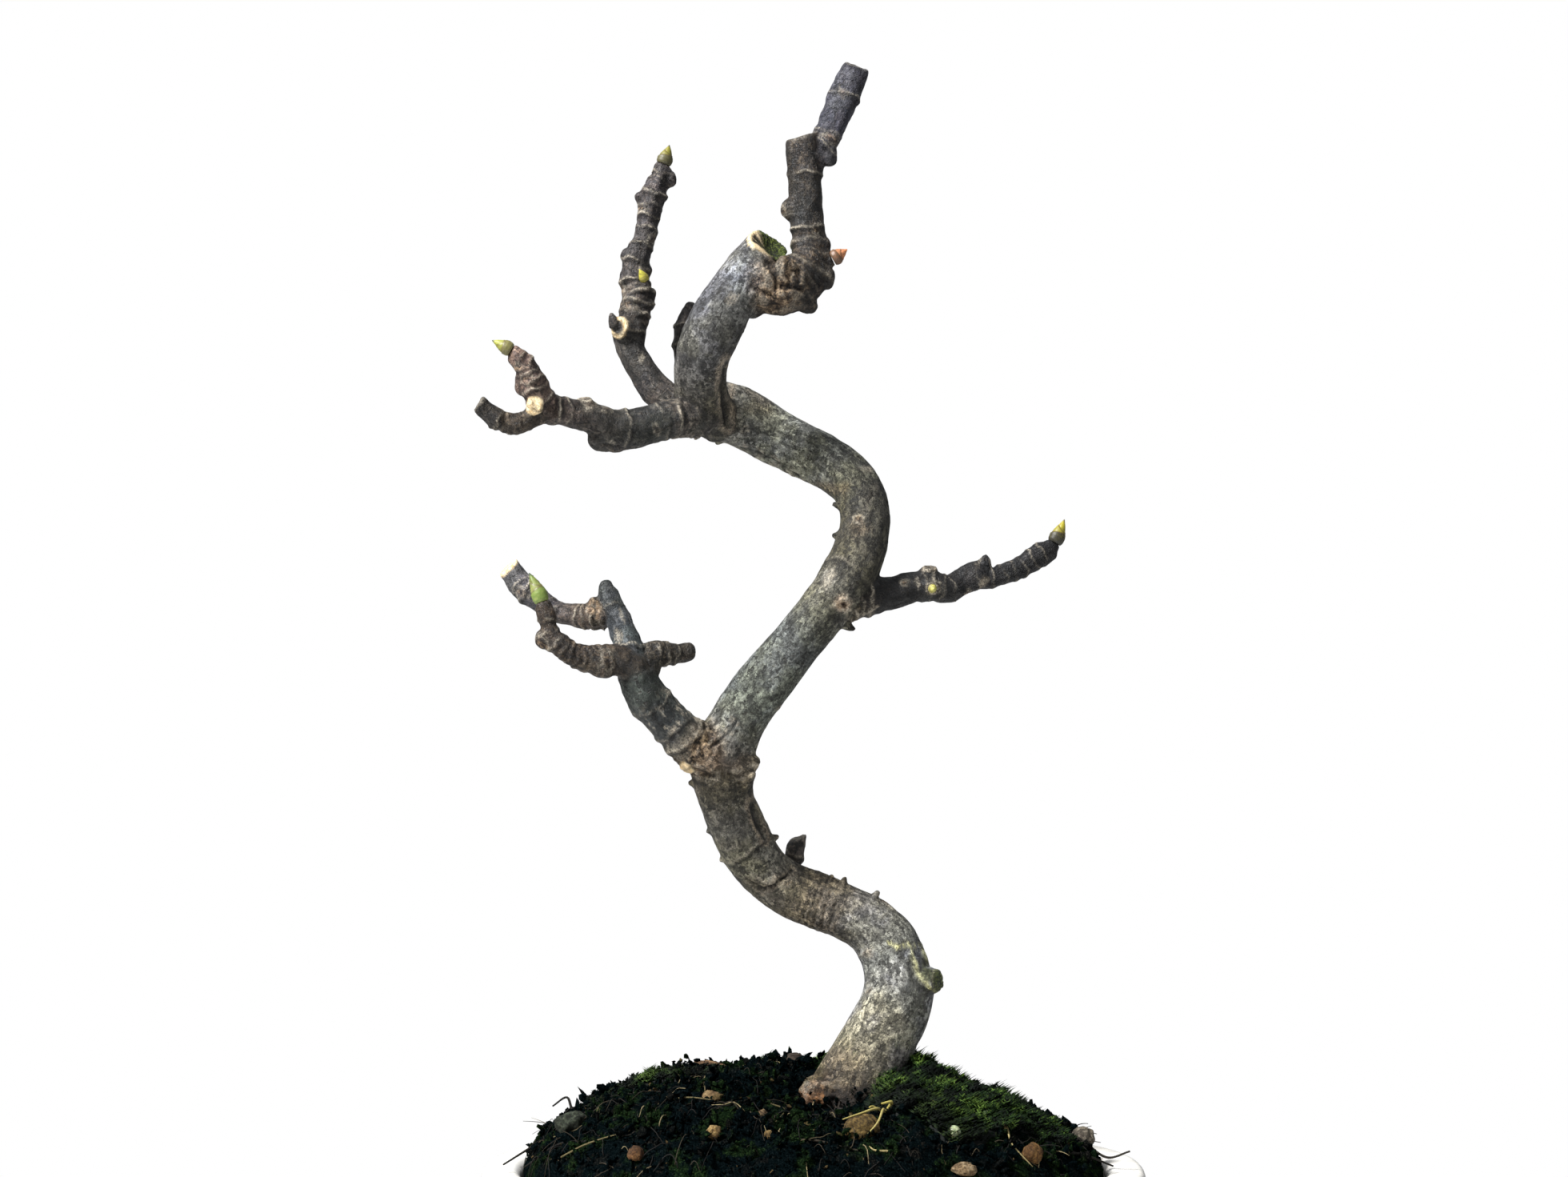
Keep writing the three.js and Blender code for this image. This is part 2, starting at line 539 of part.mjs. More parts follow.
function moundSolid() {
  const walls = CAVITY_WALL.map(([height, inset]) => ovalRing(inset + SEAT_GAP, height, SOIL_SIDES));
  walls[0].forEach((point) => point.setZ(CAVITY_FLOOR + SEAT_GAP));
  const surface = Array.from({ length: SOIL_RINGS }, (_, ring) => {
    const share = (1 - ring / SOIL_RINGS) ** 0.8;
    return ovalRing(CAVITY_WALL.at(-1)[1] + SEAT_GAP, 0, SOIL_SIDES).map((point) => {
      const x = point.x * share;
      const y = point.y * share;
      return new THREE.Vector3(x, y, POT_HEIGHT + soilHeight(x, y));
    });
  });
  const underside = new THREE.Vector3(0, 0, CAVITY_FLOOR + SEAT_GAP);
  const summit = new THREE.Vector3(0, 0, POT_HEIGHT + soilHeight(0, 0));
  const body = skin([...walls, ...surface], underside, summit).translate(0, 0, -POT_HEIGHT);
  return joined([solidOf(body), ...STRANDS.map(strandSolid)]);
}

// Loose pieces pressed into the soil: place, size along x, y and z, turn, height of the middle over the soil
const STONES = {
  stone_tan_front: {
    at: [13, -41], size: [11.4, 8, 8.6], turn: 0.3, lift: 0.6, color: 0xa4743a, roughness: 0.8,
  },
  stone_orange_right: {
    at: [59, -36], size: [6.4, 5.6, 6.2], turn: 0.8, lift: 0.9, color: 0xb9702f, roughness: 0.75,
  },
  stone_grey_right: {
    at: [76, 2], size: [8, 6.4, 6], turn: 1.3, lift: 1.4, color: 0x8c7f6c, roughness: 0.85,
  },
  stone_flat_right: {
    at: [40, -49], size: [7, 5.2, 3.6], turn: 0.2, lift: 0.6, color: 0xb39266, roughness: 0.7,
  },
  stone_rust_left: {
    at: [-48, -43.5], size: [5, 4.6, 4.4], turn: 2.1, lift: 0.6, color: 0xa9602c, roughness: 0.8,
  },
  stone_yellow_left: {
    at: [-27, -43], size: [4.2, 3.8, 3.8], turn: 1.1, lift: 0.6, color: 0xb08a4a, roughness: 0.8,
  },
  stone_dark_left: {
    at: [-67, -15], size: [9.2, 7, 7], turn: 0.5, lift: 1.2, color: 0x3c4434, roughness: 0.9,
  },
  stone_tan_left: {
    at: [-28, -25], size: [5, 4.4, 3.2], turn: 2.6, lift: 0.5, color: 0x9b7a4c, roughness: 0.85,
  },
  stone_small_middle: {
    at: [-14, -33], size: [3.4, 3, 2.8], turn: 1.9, lift: 0.5, color: 0x8a6b45, roughness: 0.85,
  },
  stone_small_front: {
    at: [-12, -45], size: [3.2, 2.8, 2.6], turn: 0.9, lift: 0.5, color: 0xa07c3e, roughness: 0.85,
  },
  stone_grey_back: {
    at: [-22, 36], size: [9, 7, 5.6], turn: 0.6, lift: 0.8, color: 0x6f685c, roughness: 0.85,
  },
  stone_tan_back: {
    at: [38, 34], size: [6.4, 5.4, 4.8], turn: 2.2, lift: 0.7, color: 0x9c7d54, roughness: 0.85,
  },
};
const BEADS = {
  bead_large: { at: [37.6, -41], radius: 1.9 },
  bead_small: { at: [47, -26], radius: 1.1 },
};
// Flakes of bark and a lump of rotted wood: place, size, tilt about y and about x, height over the soil
const WOOD = {
  bark_flake_left: {
    at: [-29, 12], size: [9.4, 4.6, 3], tilt: [0.16, 0.3], lift: 1.3, color: 0x6b5138,
  },
  bark_lump: {
    at: [-5, 13], size: [6.8, 6, 5], tilt: [0.1, 0.2], lift: 1, color: 0x2c2620,
  },
  bark_flake_right: {
    at: [41, 4], size: [8.6, 3.4, 2.6], tilt: [0.5, 0.25], lift: 1.7, color: 0x8a6f4e,
  },
};

// A weathered lump of the given size: a ball of flat facets, pushed in and out by the ripple
function lumpGeometry([width, depth, height], seed, rough) {
  const ball = new THREE.IcosahedronGeometry(1, 1);
  const points = ball.attributes.position;
  for (let k = 0; k < points.count; k += 1) {
    const point = new THREE.Vector3().fromBufferAttribute(points, k);
    const bulge = 1 + rough * ripple(point.x * 1.9 + seed, point.y * 1.9 - seed, point.z * 1.9 + 2 * seed);
    point.multiplyScalar(bulge);
    points.setXYZ(k, point.x * width * 0.5, point.y * depth * 0.5, point.z * height * 0.5);
  }
  return geometryOf(solidOf(ball));
}

function placedMesh(name, geometry, material, position = [0, 0, 0], turn = [0, 0, 0]) {
  const mesh = new THREE.Mesh(geometry, material);
  mesh.name = name;
  mesh.position.set(...position);
  mesh.rotation.set(...turn);
  mesh.updateMatrix();
  return mesh;
}

// The space a loose piece needs: its own solid, larger by the seating gap
function socketFor(mesh) {
  mesh.geometry.computeBoundingBox();
  const size = mesh.geometry.boundingBox.getSize(new THREE.Vector3());
  const larger = 1 + (2.4 * SEAT_GAP) / Math.min(size.x, size.y, size.z);
  const swollen = mesh.geometry.clone().scale(larger, larger, larger).applyMatrix4(mesh.matrix);
  return solidOf(swollen);
}

function stoneMeshes() {
  return Object.entries(STONES).map(([name, { at, size, turn, lift, color, roughness }], k) => {
    const [x, y] = at;
    const geometry = lumpGeometry(size, 1 + 0.7 * k, 0.16);
    const position = [x, y, soilHeight(x, y) + lift];
    return placedMesh(name, geometry, paint(color, roughness), position, [0.1, 0.05, turn]);
  });
}

function beadMeshes() {
  return Object.entries(BEADS).map(([name, { at, radius }]) => {
    const [x, y] = at;
    const ball = geometryOf(solidOf(new THREE.IcosahedronGeometry(radius, 1)));
    return placedMesh(name, ball, PALETTE.bead(), [x, y, soilHeight(x, y) + MOSS_DEPTH + 0.3 * radius]);
  });
}

function woodMeshes() {
  return Object.entries(WOOD).map(([name, { at, size, tilt, lift, color }], k) => {
    const [x, y] = at;
    const geometry = lumpGeometry(size, 5 + 1.3 * k, 0.12);
    const position = [x, y, soilHeight(x, y) + lift];
    return placedMesh(name, geometry, paint(color, 0.9), position, [tilt[1], tilt[0], 0.3 * k]);
  });
}

// Moss cushions: middle, half width, half depth, and how the outline wanders
const MOSS_DEPTH = 2;
const MOSS_FOOT = 6;
const MOSS = {
  moss_right: { middle: [39, -14], reach: [27, 25], seed: 1.2 },
  moss_left: { middle: [-45, 8], reach: [18, 13], seed: 3.9 },
  moss_back: { middle: [8, 36], reach: [24, 13], seed: 5.1 },
};
const MOSS_SIDES = 24;
const MOSS_RINGS = 5;

function mossPad({ middle, reach, seed }) {
  const outline = Array.from({ length: MOSS_SIDES }, (_, k) => {
    const angle = (2 * Math.PI * k) / MOSS_SIDES;
    const wander = 1 + 0.13 * Math.sin(3 * angle + seed) + 0.08 * Math.sin(5 * angle + 2 * seed)
      + 0.06 * Math.sin(9 * angle + 3 * seed);
    return [reach[0] * wander * Math.cos(angle), reach[1] * wander * Math.sin(angle)];
  });
  const edge = outline.map(([x, y]) => [middle[0] + x, middle[1] + y]);
  const rings = [edge.map(([x, y]) => new THREE.Vector3(x, y, soilHeight(x, y) - MOSS_FOOT))];
  for (let ring = 0; ring < MOSS_RINGS; ring += 1) {
    const share = 1 - ring / MOSS_RINGS;
    rings.push(outline.map(([dx, dy]) => {
      const x = middle[0] + dx * share;
      const y = middle[1] + dy * share;
      const dome = MOSS_DEPTH * Math.sqrt(1 - 0.8 * share ** 3);
      const tufts = 0.55 * ripple(x / 2.3 + seed, y / 2.3, 0.7);
      return new THREE.Vector3(x, y, soilHeight(x, y) + dome + tufts * (1 - share ** 4));
    }));
  }
  const [x, y] = middle;
  const foot = new THREE.Vector3(x, y, soilHeight(x, y) - MOSS_FOOT);
  const top = new THREE.Vector3(x, y, soilHeight(x, y) + MOSS_DEPTH);
  return solidOf(skin(rings, foot, top));
}

// A square of mesh laid over each drain hole, under the soil
function screenMeshes() {
  return ['left', 'right'].map((side, k) => {
    const plate = new THREE.BoxGeometry(SCREEN_SIZE, SCREEN_SIZE, SCREEN_THICKNESS);
    const height = CAVITY_FLOOR + SEAT_GAP + SCREEN_THICKNESS / 2;
    const x = (k === 0 ? -1 : 1) * DRAIN_X;
    return placedMesh(`drain_screen_${side}`, plate, PALETTE.screen(), [x, 0, height]);
  });
}

function budMeshes() {
  return Object.entries(BUDS).map(([name, { foot, tip, radius, color }]) => {
    const from = new THREE.Vector3(...foot);
    const way = new THREE.Vector3(...tip).sub(from);
    const mesh = placedMesh(name, budGeometry(way.length(), radius), paint(color, 0.5), foot);
    mesh.quaternion.setFromUnitVectors(new THREE.Vector3(0, 0, 1), way.normalize());
    mesh.updateMatrix();
    return mesh;
  });
}

function buildBonsai() {
  const bonsai = new THREE.Group();
  const aboveRim = new THREE.Group();
  aboveRim.position.z = POT_HEIGHT;
  bonsai.add(aboveRim);

  bonsai.add(placedMesh('pot', geometryOf(potSolid()), PALETTE.glaze()));
  const screens = screenMeshes();
  bonsai.add(...screens);

  const stones = stoneMeshes();
  const wood = woodMeshes();
  const beads = beadMeshes();
  const buds = budMeshes();
  aboveRim.add(...stones, ...wood, ...beads, ...buds);

  const tree = cutBack(treeSolid(), [...stones, ...wood, ...buds].map(socketFor));
  aboveRim.add(placedMesh('tree', geometryOf(mainBody(tree)), PALETTE.bark()));

  const trunkHole = rootedLimbs(SEAT_GAP);
  const mound = moundSolid();
  const underScreens = screens.map((screen) => socketFor(screen).translate([0, 0, -POT_HEIGHT]));
  const soil = cutBack(mound, [trunkHole, ...underScreens, ...[...stones, ...wood].map(socketFor)]);
  aboveRim.add(placedMesh('soil', geometryOf(mainBody(soil)), PALETTE.soil()));

  const soilTop = mound.translate([0, 0, SEAT_GAP + 0.1]);
  Object.entries(MOSS).forEach(([name, entry]) => {
    const sockets = [...stones, ...wood, ...beads].map(socketFor);
    const pad = cutBack(mossPad(entry), [soilTop, trunkHole, ...sockets]);
    aboveRim.add(placedMesh(name, geometryOf(mainBody(pad)), PALETTE.moss()));
  });
  return bonsai;
}

export default buildBonsai();
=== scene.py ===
"""Common fig bonsai at bud break in a cream oval pot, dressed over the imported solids."""

import math

import bmesh
import bpy
import numpy as np
from mathutils.kdtree import KDTree
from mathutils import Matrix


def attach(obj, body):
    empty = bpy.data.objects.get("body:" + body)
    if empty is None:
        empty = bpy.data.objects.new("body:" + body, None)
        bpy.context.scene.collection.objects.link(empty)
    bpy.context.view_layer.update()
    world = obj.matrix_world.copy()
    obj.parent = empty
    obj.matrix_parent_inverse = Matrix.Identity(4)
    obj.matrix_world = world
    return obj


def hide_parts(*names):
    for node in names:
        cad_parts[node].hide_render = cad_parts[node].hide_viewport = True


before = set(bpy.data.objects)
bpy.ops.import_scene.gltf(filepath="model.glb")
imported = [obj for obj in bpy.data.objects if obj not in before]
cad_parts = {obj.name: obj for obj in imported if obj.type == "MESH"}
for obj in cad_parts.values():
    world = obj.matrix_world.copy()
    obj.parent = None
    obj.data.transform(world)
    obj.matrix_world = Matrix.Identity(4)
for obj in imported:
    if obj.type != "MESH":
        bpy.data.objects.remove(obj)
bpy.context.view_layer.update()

# Sizes in millimetres. Tables from the soil up give x, y, z above the pot's rim and radius.
RIM = 58.0
POT_HALF_WIDTH = 93.0
POT_HALF_DEPTH = 69.0
POT_SQUARENESS = 2.35
FOOT_HEIGHT = 6.0
CAVITY_FLOOR = 11.5
SEAT_GAP = 0.3
SOIL_INSET = 11.4
SOIL_REACH = (POT_HALF_WIDTH - SOIL_INSET, POT_HALF_DEPTH - SOIL_INSET)
MOSS_DEPTH = 2.0
MOSS_FOOT = 6.0
TREE_VOXEL = 0.47
TREE_TRIANGLES = 196000
# The inside of the soil, and the pot's wall from outside its foot over the lip to its floor: height, inset
CAVITY_WALL = ((CAVITY_FLOOR, 23), (CAVITY_FLOOR + 2.5, 19.5), (32, 14.5), (55, 11.5))
POT_WALL = (
    (5, 19), (5.5, 17.6), (6.4, 16.2), (8.5, 14.9), (12, 13), (18, 11.7), (24, 10.6), (30, 9.6), (38, 8.4),
    (46, 7.4), (48.2, 6.4), (49.4, 4.6), (50.2, 2), (50.9, 0.8), (51.8, 0.2), (53, 0.02), (55, 0),
    (56.2, 0.1), (57, 0.35), (57.6, 0.9), (57.9, 1.5), (58, 2.3), (58, 8.6), (57.85, 9.3), (57.4, 10),
    (56.4, 10.9), (55, 11.5), (32, 14.5), (13, 19.5), (CAVITY_FLOOR, 23),
)
# Feet and drain holes of the pot: radius and height, and how far from the middle they are
FOOT = ((8.9, 0), (9.35, 0.12), (9.6, 0.5), (10.4, 3), (11.2, 5.2), (11.2, 7))
FOOT_PLACE = (47, 28)
DRAIN = ((6, -6), (6, 12))
DRAIN_PLACE = 33
# The camera's distance from the tree, and the middle and width of what the photo shows there
CAMERA_DISTANCE = 1000
PHOTO_MIDDLE = (-8.2125, 220.1125)
PHOTO_WIDTH = 441
SENSOR = 36
GROUND_LIGHT, SKY_LIGHT = 0.1, 0.52
# Lamps, in metres: name, place, what it points at, size, power
LAMPS = (
    ("key", (-0.75, -0.5, 1.15), (0, 0, 0.2), 0.4, 44),
    ("fill", (0.7, -0.9, 0.5), (0, 0, 0.18), 0.9, 0.5),
)
# What marks bring to the colour of the bark: the dark one is mostly painted shade in cracks, grooves,
# creases, under rings and in hollows, with the dark of some cut faces, and the pale one is partly painted
# highlight on ridges
MARK_COLOURS = ("pale", "warm", "deep", "cream", "green", "yellow")
# Trunk, its sawn top, and limbs: x, y, z and radius at each station
TRUNK = [
    (-4, -2, -20, 8), (1, -2, -8, 12), (6, -1.5, 5, 12.8), (10, -0.5, 18, 11.4), (14.5, 0, 28, 10.3),
    (18.7, 1, 36, 10), (22.4, 2, 43.5, 9.9), (24, 3, 50, 9.9), (23.3, 5, 56, 9.2), (20.8, 7, 62, 9),
    (15.5, 9, 67, 8.1), (9, 11, 70, 8.2), (1, 12, 73, 8.4), (-7, 12, 76.5, 8), (-14, 9, 82.5, 7.6),
    (-19.7, 5, 92, 7.9), (-24.1, 1, 102, 7.5), (-25.5, -2, 109, 8.3), (-25, -4, 116.5, 8.3),
    (-20.5, -6, 125.5, 7.4), (-13, -8, 136.5, 7.4), (-4.6, -9, 147.5, 7), (3, -8, 156.5, 7.4),
    (9, -6, 164, 8.1), (12.5, -3, 171, 7.9), (14.5, 1, 179, 7.3), (14, 5, 185.8, 7.2), (11, 9, 192.2, 7.5),
    (2.5, 14, 199.2, 7.7), (-10.5, 18, 205.4, 7.7), (-21, 16, 211, 8.1), (-28, 12, 213, 8),
]
TRUNK_TOP = [
    (-26, 12, 209, 6), (-30.5, 4, 213.5, 7), (-31.5, -4, 220.5, 7.1), (-31, -8, 226, 7.1),
    (-29.5, -11, 231, 7.5), (-26, -12, 238, 7.6), (-22, -11, 244.8, 7.1), (-17.5, -9, 251.6, 6.8),
    (-12.4, -7.6, 257.8, 6.5),
]
LIMBS = {
    "apex": [
        (-18, -8, 247, 5.4), (-11.5, -9, 246, 7.6), (-5, -8, 247.5, 7.2), (-0.9, -6, 253, 5.8),
        (-1.2, -4, 260, 4.6), (-1.8, -3, 267, 4.4), (-2.3, -2, 274.5, 4.4), (-2.6, -1, 281.5, 4.5),
        (-3, -0.5, 289.2, 4.6),
    ],
    "apexShoot": [
        (-2, -1, 279, 3.4), (1.8, 0, 285.5, 3.7), (4.3, 1, 290, 3.8), (6.3, 2, 295, 4), (8.7, 4, 301, 4.2),
        (10.8, 5, 306, 4.1), (12.4, 6, 309.8, 3.5),
    ],
    "tall": [
        (-29, 8, 211, 5), (-34.5, 4.5, 211.5, 5.2), (-38.8, 5, 213.5, 5.1), (-44.6, 6, 218.5, 4.5),
        (-48.2, 7, 224, 4.1), (-51.6, 8, 230, 4.2), (-51.8, 9, 235, 4.6), (-50.6, 10, 240, 4.4),
        (-49.9, 11, 245.5, 4.3), (-50.8, 12, 250, 4), (-50, 13, 256.5, 3.7), (-48.3, 14, 261.5, 3.2),
        (-47.3, 15, 266.5, 3.1), (-46.3, 16, 271.5, 3.3), (-45.2, 17, 276, 3.4), (-43.4, 18, 279.6, 2.7),
        (-43, 18, 281.6, 2.4),
    ],
    "back": [
        (-29, 9, 211, 3.6), (-33, 11, 217, 3), (-36, 15, 223, 2.7), (-37.4, 18, 229, 2.5),
        (-37.2, 21, 236.5, 2.7), (-35, 24, 243, 2.1),
    ],
    "left": [
        (-26, 11, 212, 5), (-33, 1, 211, 6), (-39.5, -3, 210, 5.5), (-46, -6, 208, 5.6),
        (-51.5, -9, 206.6, 5.5), (-57, -12, 207, 5), (-61, -15, 209, 4.4), (-66, -18, 210.3, 3.9),
        (-71, -21, 211.2, 3.8), (-75.5, -23.5, 212, 4.2),
    ],
    "leftShoot": [
        (-72, -22, 210, 3.2), (-76, -25, 216, 3.9), (-77.7, -26, 220.1, 3.3), (-79.3, -27, 223, 3),
        (-81.2, -28, 225.4, 2.5),
    ],
    "leftSpur": [
        (-74, -23, 211, 3), (-79.5, -26, 208, 2.9), (-83, -28, 207.2, 3), (-86, -29.5, 208, 2.6),
        (-87.4, -30, 208.9, 2.9), (-89.9, -31, 210.9, 2.5), (-91.4, -32, 212.5, 2.3),
    ],
    "leftKnob": [(-47, -6, 207, 4), (-55, -10, 204.3, 4.2), (-60.2, -11, 203.6, 3)],
    "right": [
        (6, -6, 158, 5), (13.5, -6, 159.5, 5.2), (18.5, -4, 160.5, 4.7), (23, -2, 161, 4.4),
        (28, 0, 162.6, 4.3), (33, 1, 162.8, 4.6), (37.5, 2, 161.8, 3.8), (41.5, 4, 163.7, 3.7),
        (45.5, 5, 165.3, 4.3), (49.5, 6, 165, 3.1), (54, 7, 166.3, 2.9), (59.5, 9, 168.6, 3.2),
        (64, 10, 171.4, 3.6), (67, 11, 172.9, 3.2),
    ],
    "low": [
        (-17, -4, 110, 5), (-25.6, -5, 114.2, 7.2), (-32.8, -7, 118.3, 7), (-37.6, -9, 122.2, 6.2),
        (-42.4, -11, 127.2, 5.9), (-46.9, -13, 132.8, 6.1), (-49.3, -14, 138.5, 5.4),
    ],
    "lowLeader": [
        (-46, -13, 133, 4), (-50.5, -13.5, 141.5, 4.6), (-51.5, -13, 146, 4.2), (-53.2, -11, 150.8, 3.8),
        (-55.6, -9, 156, 3.5), (-57.2, -7.5, 160.5, 2.8), (-58, -6.5, 163, 1.9),
    ],
    "lowSide": [
        (-52, -10.5, 153, 2.6), (-57, -8.5, 154.4, 3.4), (-60.5, -8, 154.4, 3.8), (-66, -7, 154.5, 3.3),
        (-71, -6, 155.4, 3), (-75.4, -5, 157.8, 3.2), (-80, -4, 161.6, 3.6), (-83, -3, 164.8, 3.4),
        (-85.6, -2.3, 168.4, 3.1),
    ],
    "lowFront": [
        (-46, -13, 134.5, 3.4), (-49.5, -15, 140, 4.4), (-54, -17, 142.4, 4.1), (-58.5, -18.5, 142.5, 4),
        (-63.5, -20, 142.9, 3.4), (-68, -21.5, 145.2, 3), (-71.5, -22, 148.2, 2.6), (-73, -21.5, 151.5, 2.1),
        (-73.7, -21, 154.5, 2.4), (-74.5, -20.3, 156.8, 2.3),
    ],
    "lowStub": [
        (-47, -13, 137, 3.6), (-45, -12, 143.5, 3.6), (-41.5, -10, 144, 3.1), (-38, -8, 143.8, 2.5),
        (-35, -6.5, 144.2, 2.7),
    ],
    "bendStub": [(-7, 14, 76, 3.4), (-6.3, 18, 83, 2.4), (-4.9, 19, 87.2, 2.6), (-4.2, 20, 90.6, 2.3)],
}
# The way each sawn end faces
CUTS = {
    "trunk_top": (0.56, -0.42, 0.72), "apex": (-0.25, -0.1, 0.97), "apexShoot": (0.35, -0.2, 0.9),
    "leftSpur": (-0.8, -0.2, 0.5), "lowSide": (-0.66, -0.2, 0.7), "bendStub": (-0.35, -0.2, 0.9),
}
# The hollow in the sawn top of the trunk
HOLLOW_MIDDLE, HOLLOW_RADIUS, HOLLOW_DEPTH = (-12, -7.9, 258), 5.2, 2.4
# Roots, station by station in the same way
ROOTS = [
    [(8, -1, 22, 8), (1, -3, 14, 6.4), (-8, -6, 4, 4.2), (-14, -9, -7, 2.4)],
    [(8, -3, 12, 8), (14, -12, 8, 5), (18, -21, -1, 3.4), (20, -27, -10, 2)],
    [(12, 2, 20, 8), (22, 8, 13, 5.2), (32, 13, 3, 3.2), (38, 15, -7, 2)],
]
# Pruning stubs: foot, the way they point, length, radius, narrowing
STUBS = [
    ((26.6, 1, 51.6), (0.88, -0.46, 0.06), 9.6, 6.4, 0.52), ((2, -6, 253), (1, -0.1, 0.35), 3.4, 2.6, 0.85),
    ((-51, 8, 235), (-0.63, -0.76, 0.12), 6.2, 3.5, 0.9), ((-76, -23.5, 212), (-0.1, -1, 0), 5.4, 2.8, 0.85),
    ((-63, -15, 210), (-0.1, -0.4, 1), 4.9, 2.5, 0.85), ((32.5, 1, 163.8), (0, -0.3, 1), 4.5, 2.5, 0.85),
    ((32.8, 0, 162.5), (0.1, -1, -0.1), 4.2, 2.1, 0.8),
    ((-32.8, -8, 115.4), (-0.6, -0.5, -0.75), 5.2, 3.2, 0.7),
    ((8.6, -12, 157.6), (-0.1, -1, 0.1), 2.2, 2.4, 0.75),
]
# Knobs and callus: middle, half sizes
KNOBS = [
    ((-6.4, -3, 268.2), (2.6, 2.2, 3.4)), ((4.3, -1, 284.5), (2.4, 2.4, 4)), ((-1.6, -8, 241.6), (3, 3, 2.8)),
    ((3.8, -7, 249), (2.4, 2.8, 3.4)), ((2.8, -5, 258.4), (2.2, 2.4, 2.4)), ((-17, -8, 240.5), (3.6, 4, 3.2)),
    ((-13, -15, 247.5), (3.4, 2.6, 4.2)), ((-8, -14.2, 251), (2.6, 2.4, 3)),
    ((-9.5, -15, 243.5), (3.4, 2.4, 2.8)), ((-46.6, 11, 245.6), (2.2, 2.2, 2.6)),
    ((-47.6, 12.5, 252.4), (1.9, 2, 2.2)), ((-53, 13, 256.8), (1.8, 2, 2.4)),
    ((-49.2, 16, 273.8), (1.8, 1.9, 1.8)), ((-40.6, 18, 279.2), (2, 1.7, 2.4)),
    ((-80, -25.5, 218.2), (2.2, 2, 3.6)), ((48.8, 5, 169.2), (1.7, 1.6, 2.6)),
    ((-61, -8, 158), (1.9, 1.8, 1.8)), ((-74.6, -22, 148.2), (2.1, 2, 2.6)),
    ((-58, -19, 139.6), (3, 2.6, 2.4)), ((-33, -11.5, 121), (3.4, 2.8, 3.4)),
    ((-48.5, -18.2, 137), (2.4, 2.2, 3)), ((-60.8, -15.5, 203.8), (1.8, 2, 2)),
    ((5.4, 9, 75.4), (4.2, 4, 3.6)), ((-21, 15, 216.6), (4.6, 4, 3.4)), ((1.5, -5, 20.5), (6.6, 7, 5.4)),
]
# Spines and small snags: foot, the way they point
SPINES = [
    ((-32.8, -2, 107.4), (-1, 0, 0.1)), ((-27.8, 2, 93.4), (-1, 0, 0.2)), ((-24.4, 6, 86.2), (-0.9, 0, -0.5)),
    ((-56.4, 3.6, 237.8), (-0.2, -0.2, 1)), ((-11.8, 4, 91.5), (1, 0, 0.3)), ((5, 10, 78.6), (0.2, 0, 1)),
    ((8.4, 9, 78.2), (0.4, 0, 1)), ((17.2, 6, 74.6), (0.6, 0, 0.8)), ((9.6, -7, 151.6), (0.9, 0, -0.5)),
    ((7.6, 1, 185.5), (-1, 0, 0.2)), ((7.6, -1, 177), (-1, 0, 0)), ((-21.6, -11, 233.5), (1, 0, 0.1)),
    ((-26, 16, 205), (-0.7, 0, -0.7)),
]
# Root strands that run out of the soil: x, y and height over the soil along each
STRANDS = [
    [(-58, -30, -1.4), (-70, -22, 0.9), (-80, -16, 4)],
    [(-58, -10, -1.4), (-67, -6, 1.4), (-69, -4, 5.8), (-73, -3, 7)],
    [(-66, 0, -1.4), (-77, -7, 1), (-86, -14, 4.4)], [(62, -30, -1.4), (73, -21, 1), (83, -14, 4)],
    [(64, 2, -1.4), (74, -3, 1.6), (82, -8, 5.4), (88, -10, 7.4)],
    [(-12, -47, -1.2), (-2, -46.5, 0.5), (10, -48, 0.5), (22, -49, -1.2)],
]
# Pale stems and a withered sprout: x, y and height over the soil along each, thickness, paleness, yellow
STEMS = [
    ([(19, -33, 1), (17, -37, 4.4), (12, -40, 4.6), (7.6, -42, 2.6)], 0.42, 1, 0.6),
    ([(19, -33, 1), (18.6, -38, 4), (17, -43, 3), (14, -46, 1)], 0.4, 1, 0.5),
    ([(19, -33, 1), (21, -34.4, 4), (18.2, -36.4, 5.4)], 0.6, 1, 0.9),
    ([(19, -33, 1), (16, -33.6, 3.6), (15, -35.6, 4.6)], 0.55, 1, 0.8),
    ([(50.5, -24, 1), (52.4, -31, 2), (53.6, -37, 1.2), (59, -39.5, 1)], 0.3, 1, 0.2),
    ([(20, -50, 0.8), (16, -51, 1.8), (14.6, -49, 1.2)], 0.3, 1, 0.2),
    ([(-69, -30, 1), (-62, -33, 2.4), (-50, -36, 1.2)], 0.3, 0.9, 0.1),
    ([(-40, -20, 1), (-34, -27, 2.2), (-26, -31, 1.2)], 0.26, 0.9, 0.1),
    ([(28, -18, 0.9), (33, -30, 2.4), (31, -38, 1)], 0.26, 0.85, 0.3),
    ([(-12, -24, 1), (-8, -33, 2), (-11, -40, 1)], 0.24, 0.8, 0.1),
]
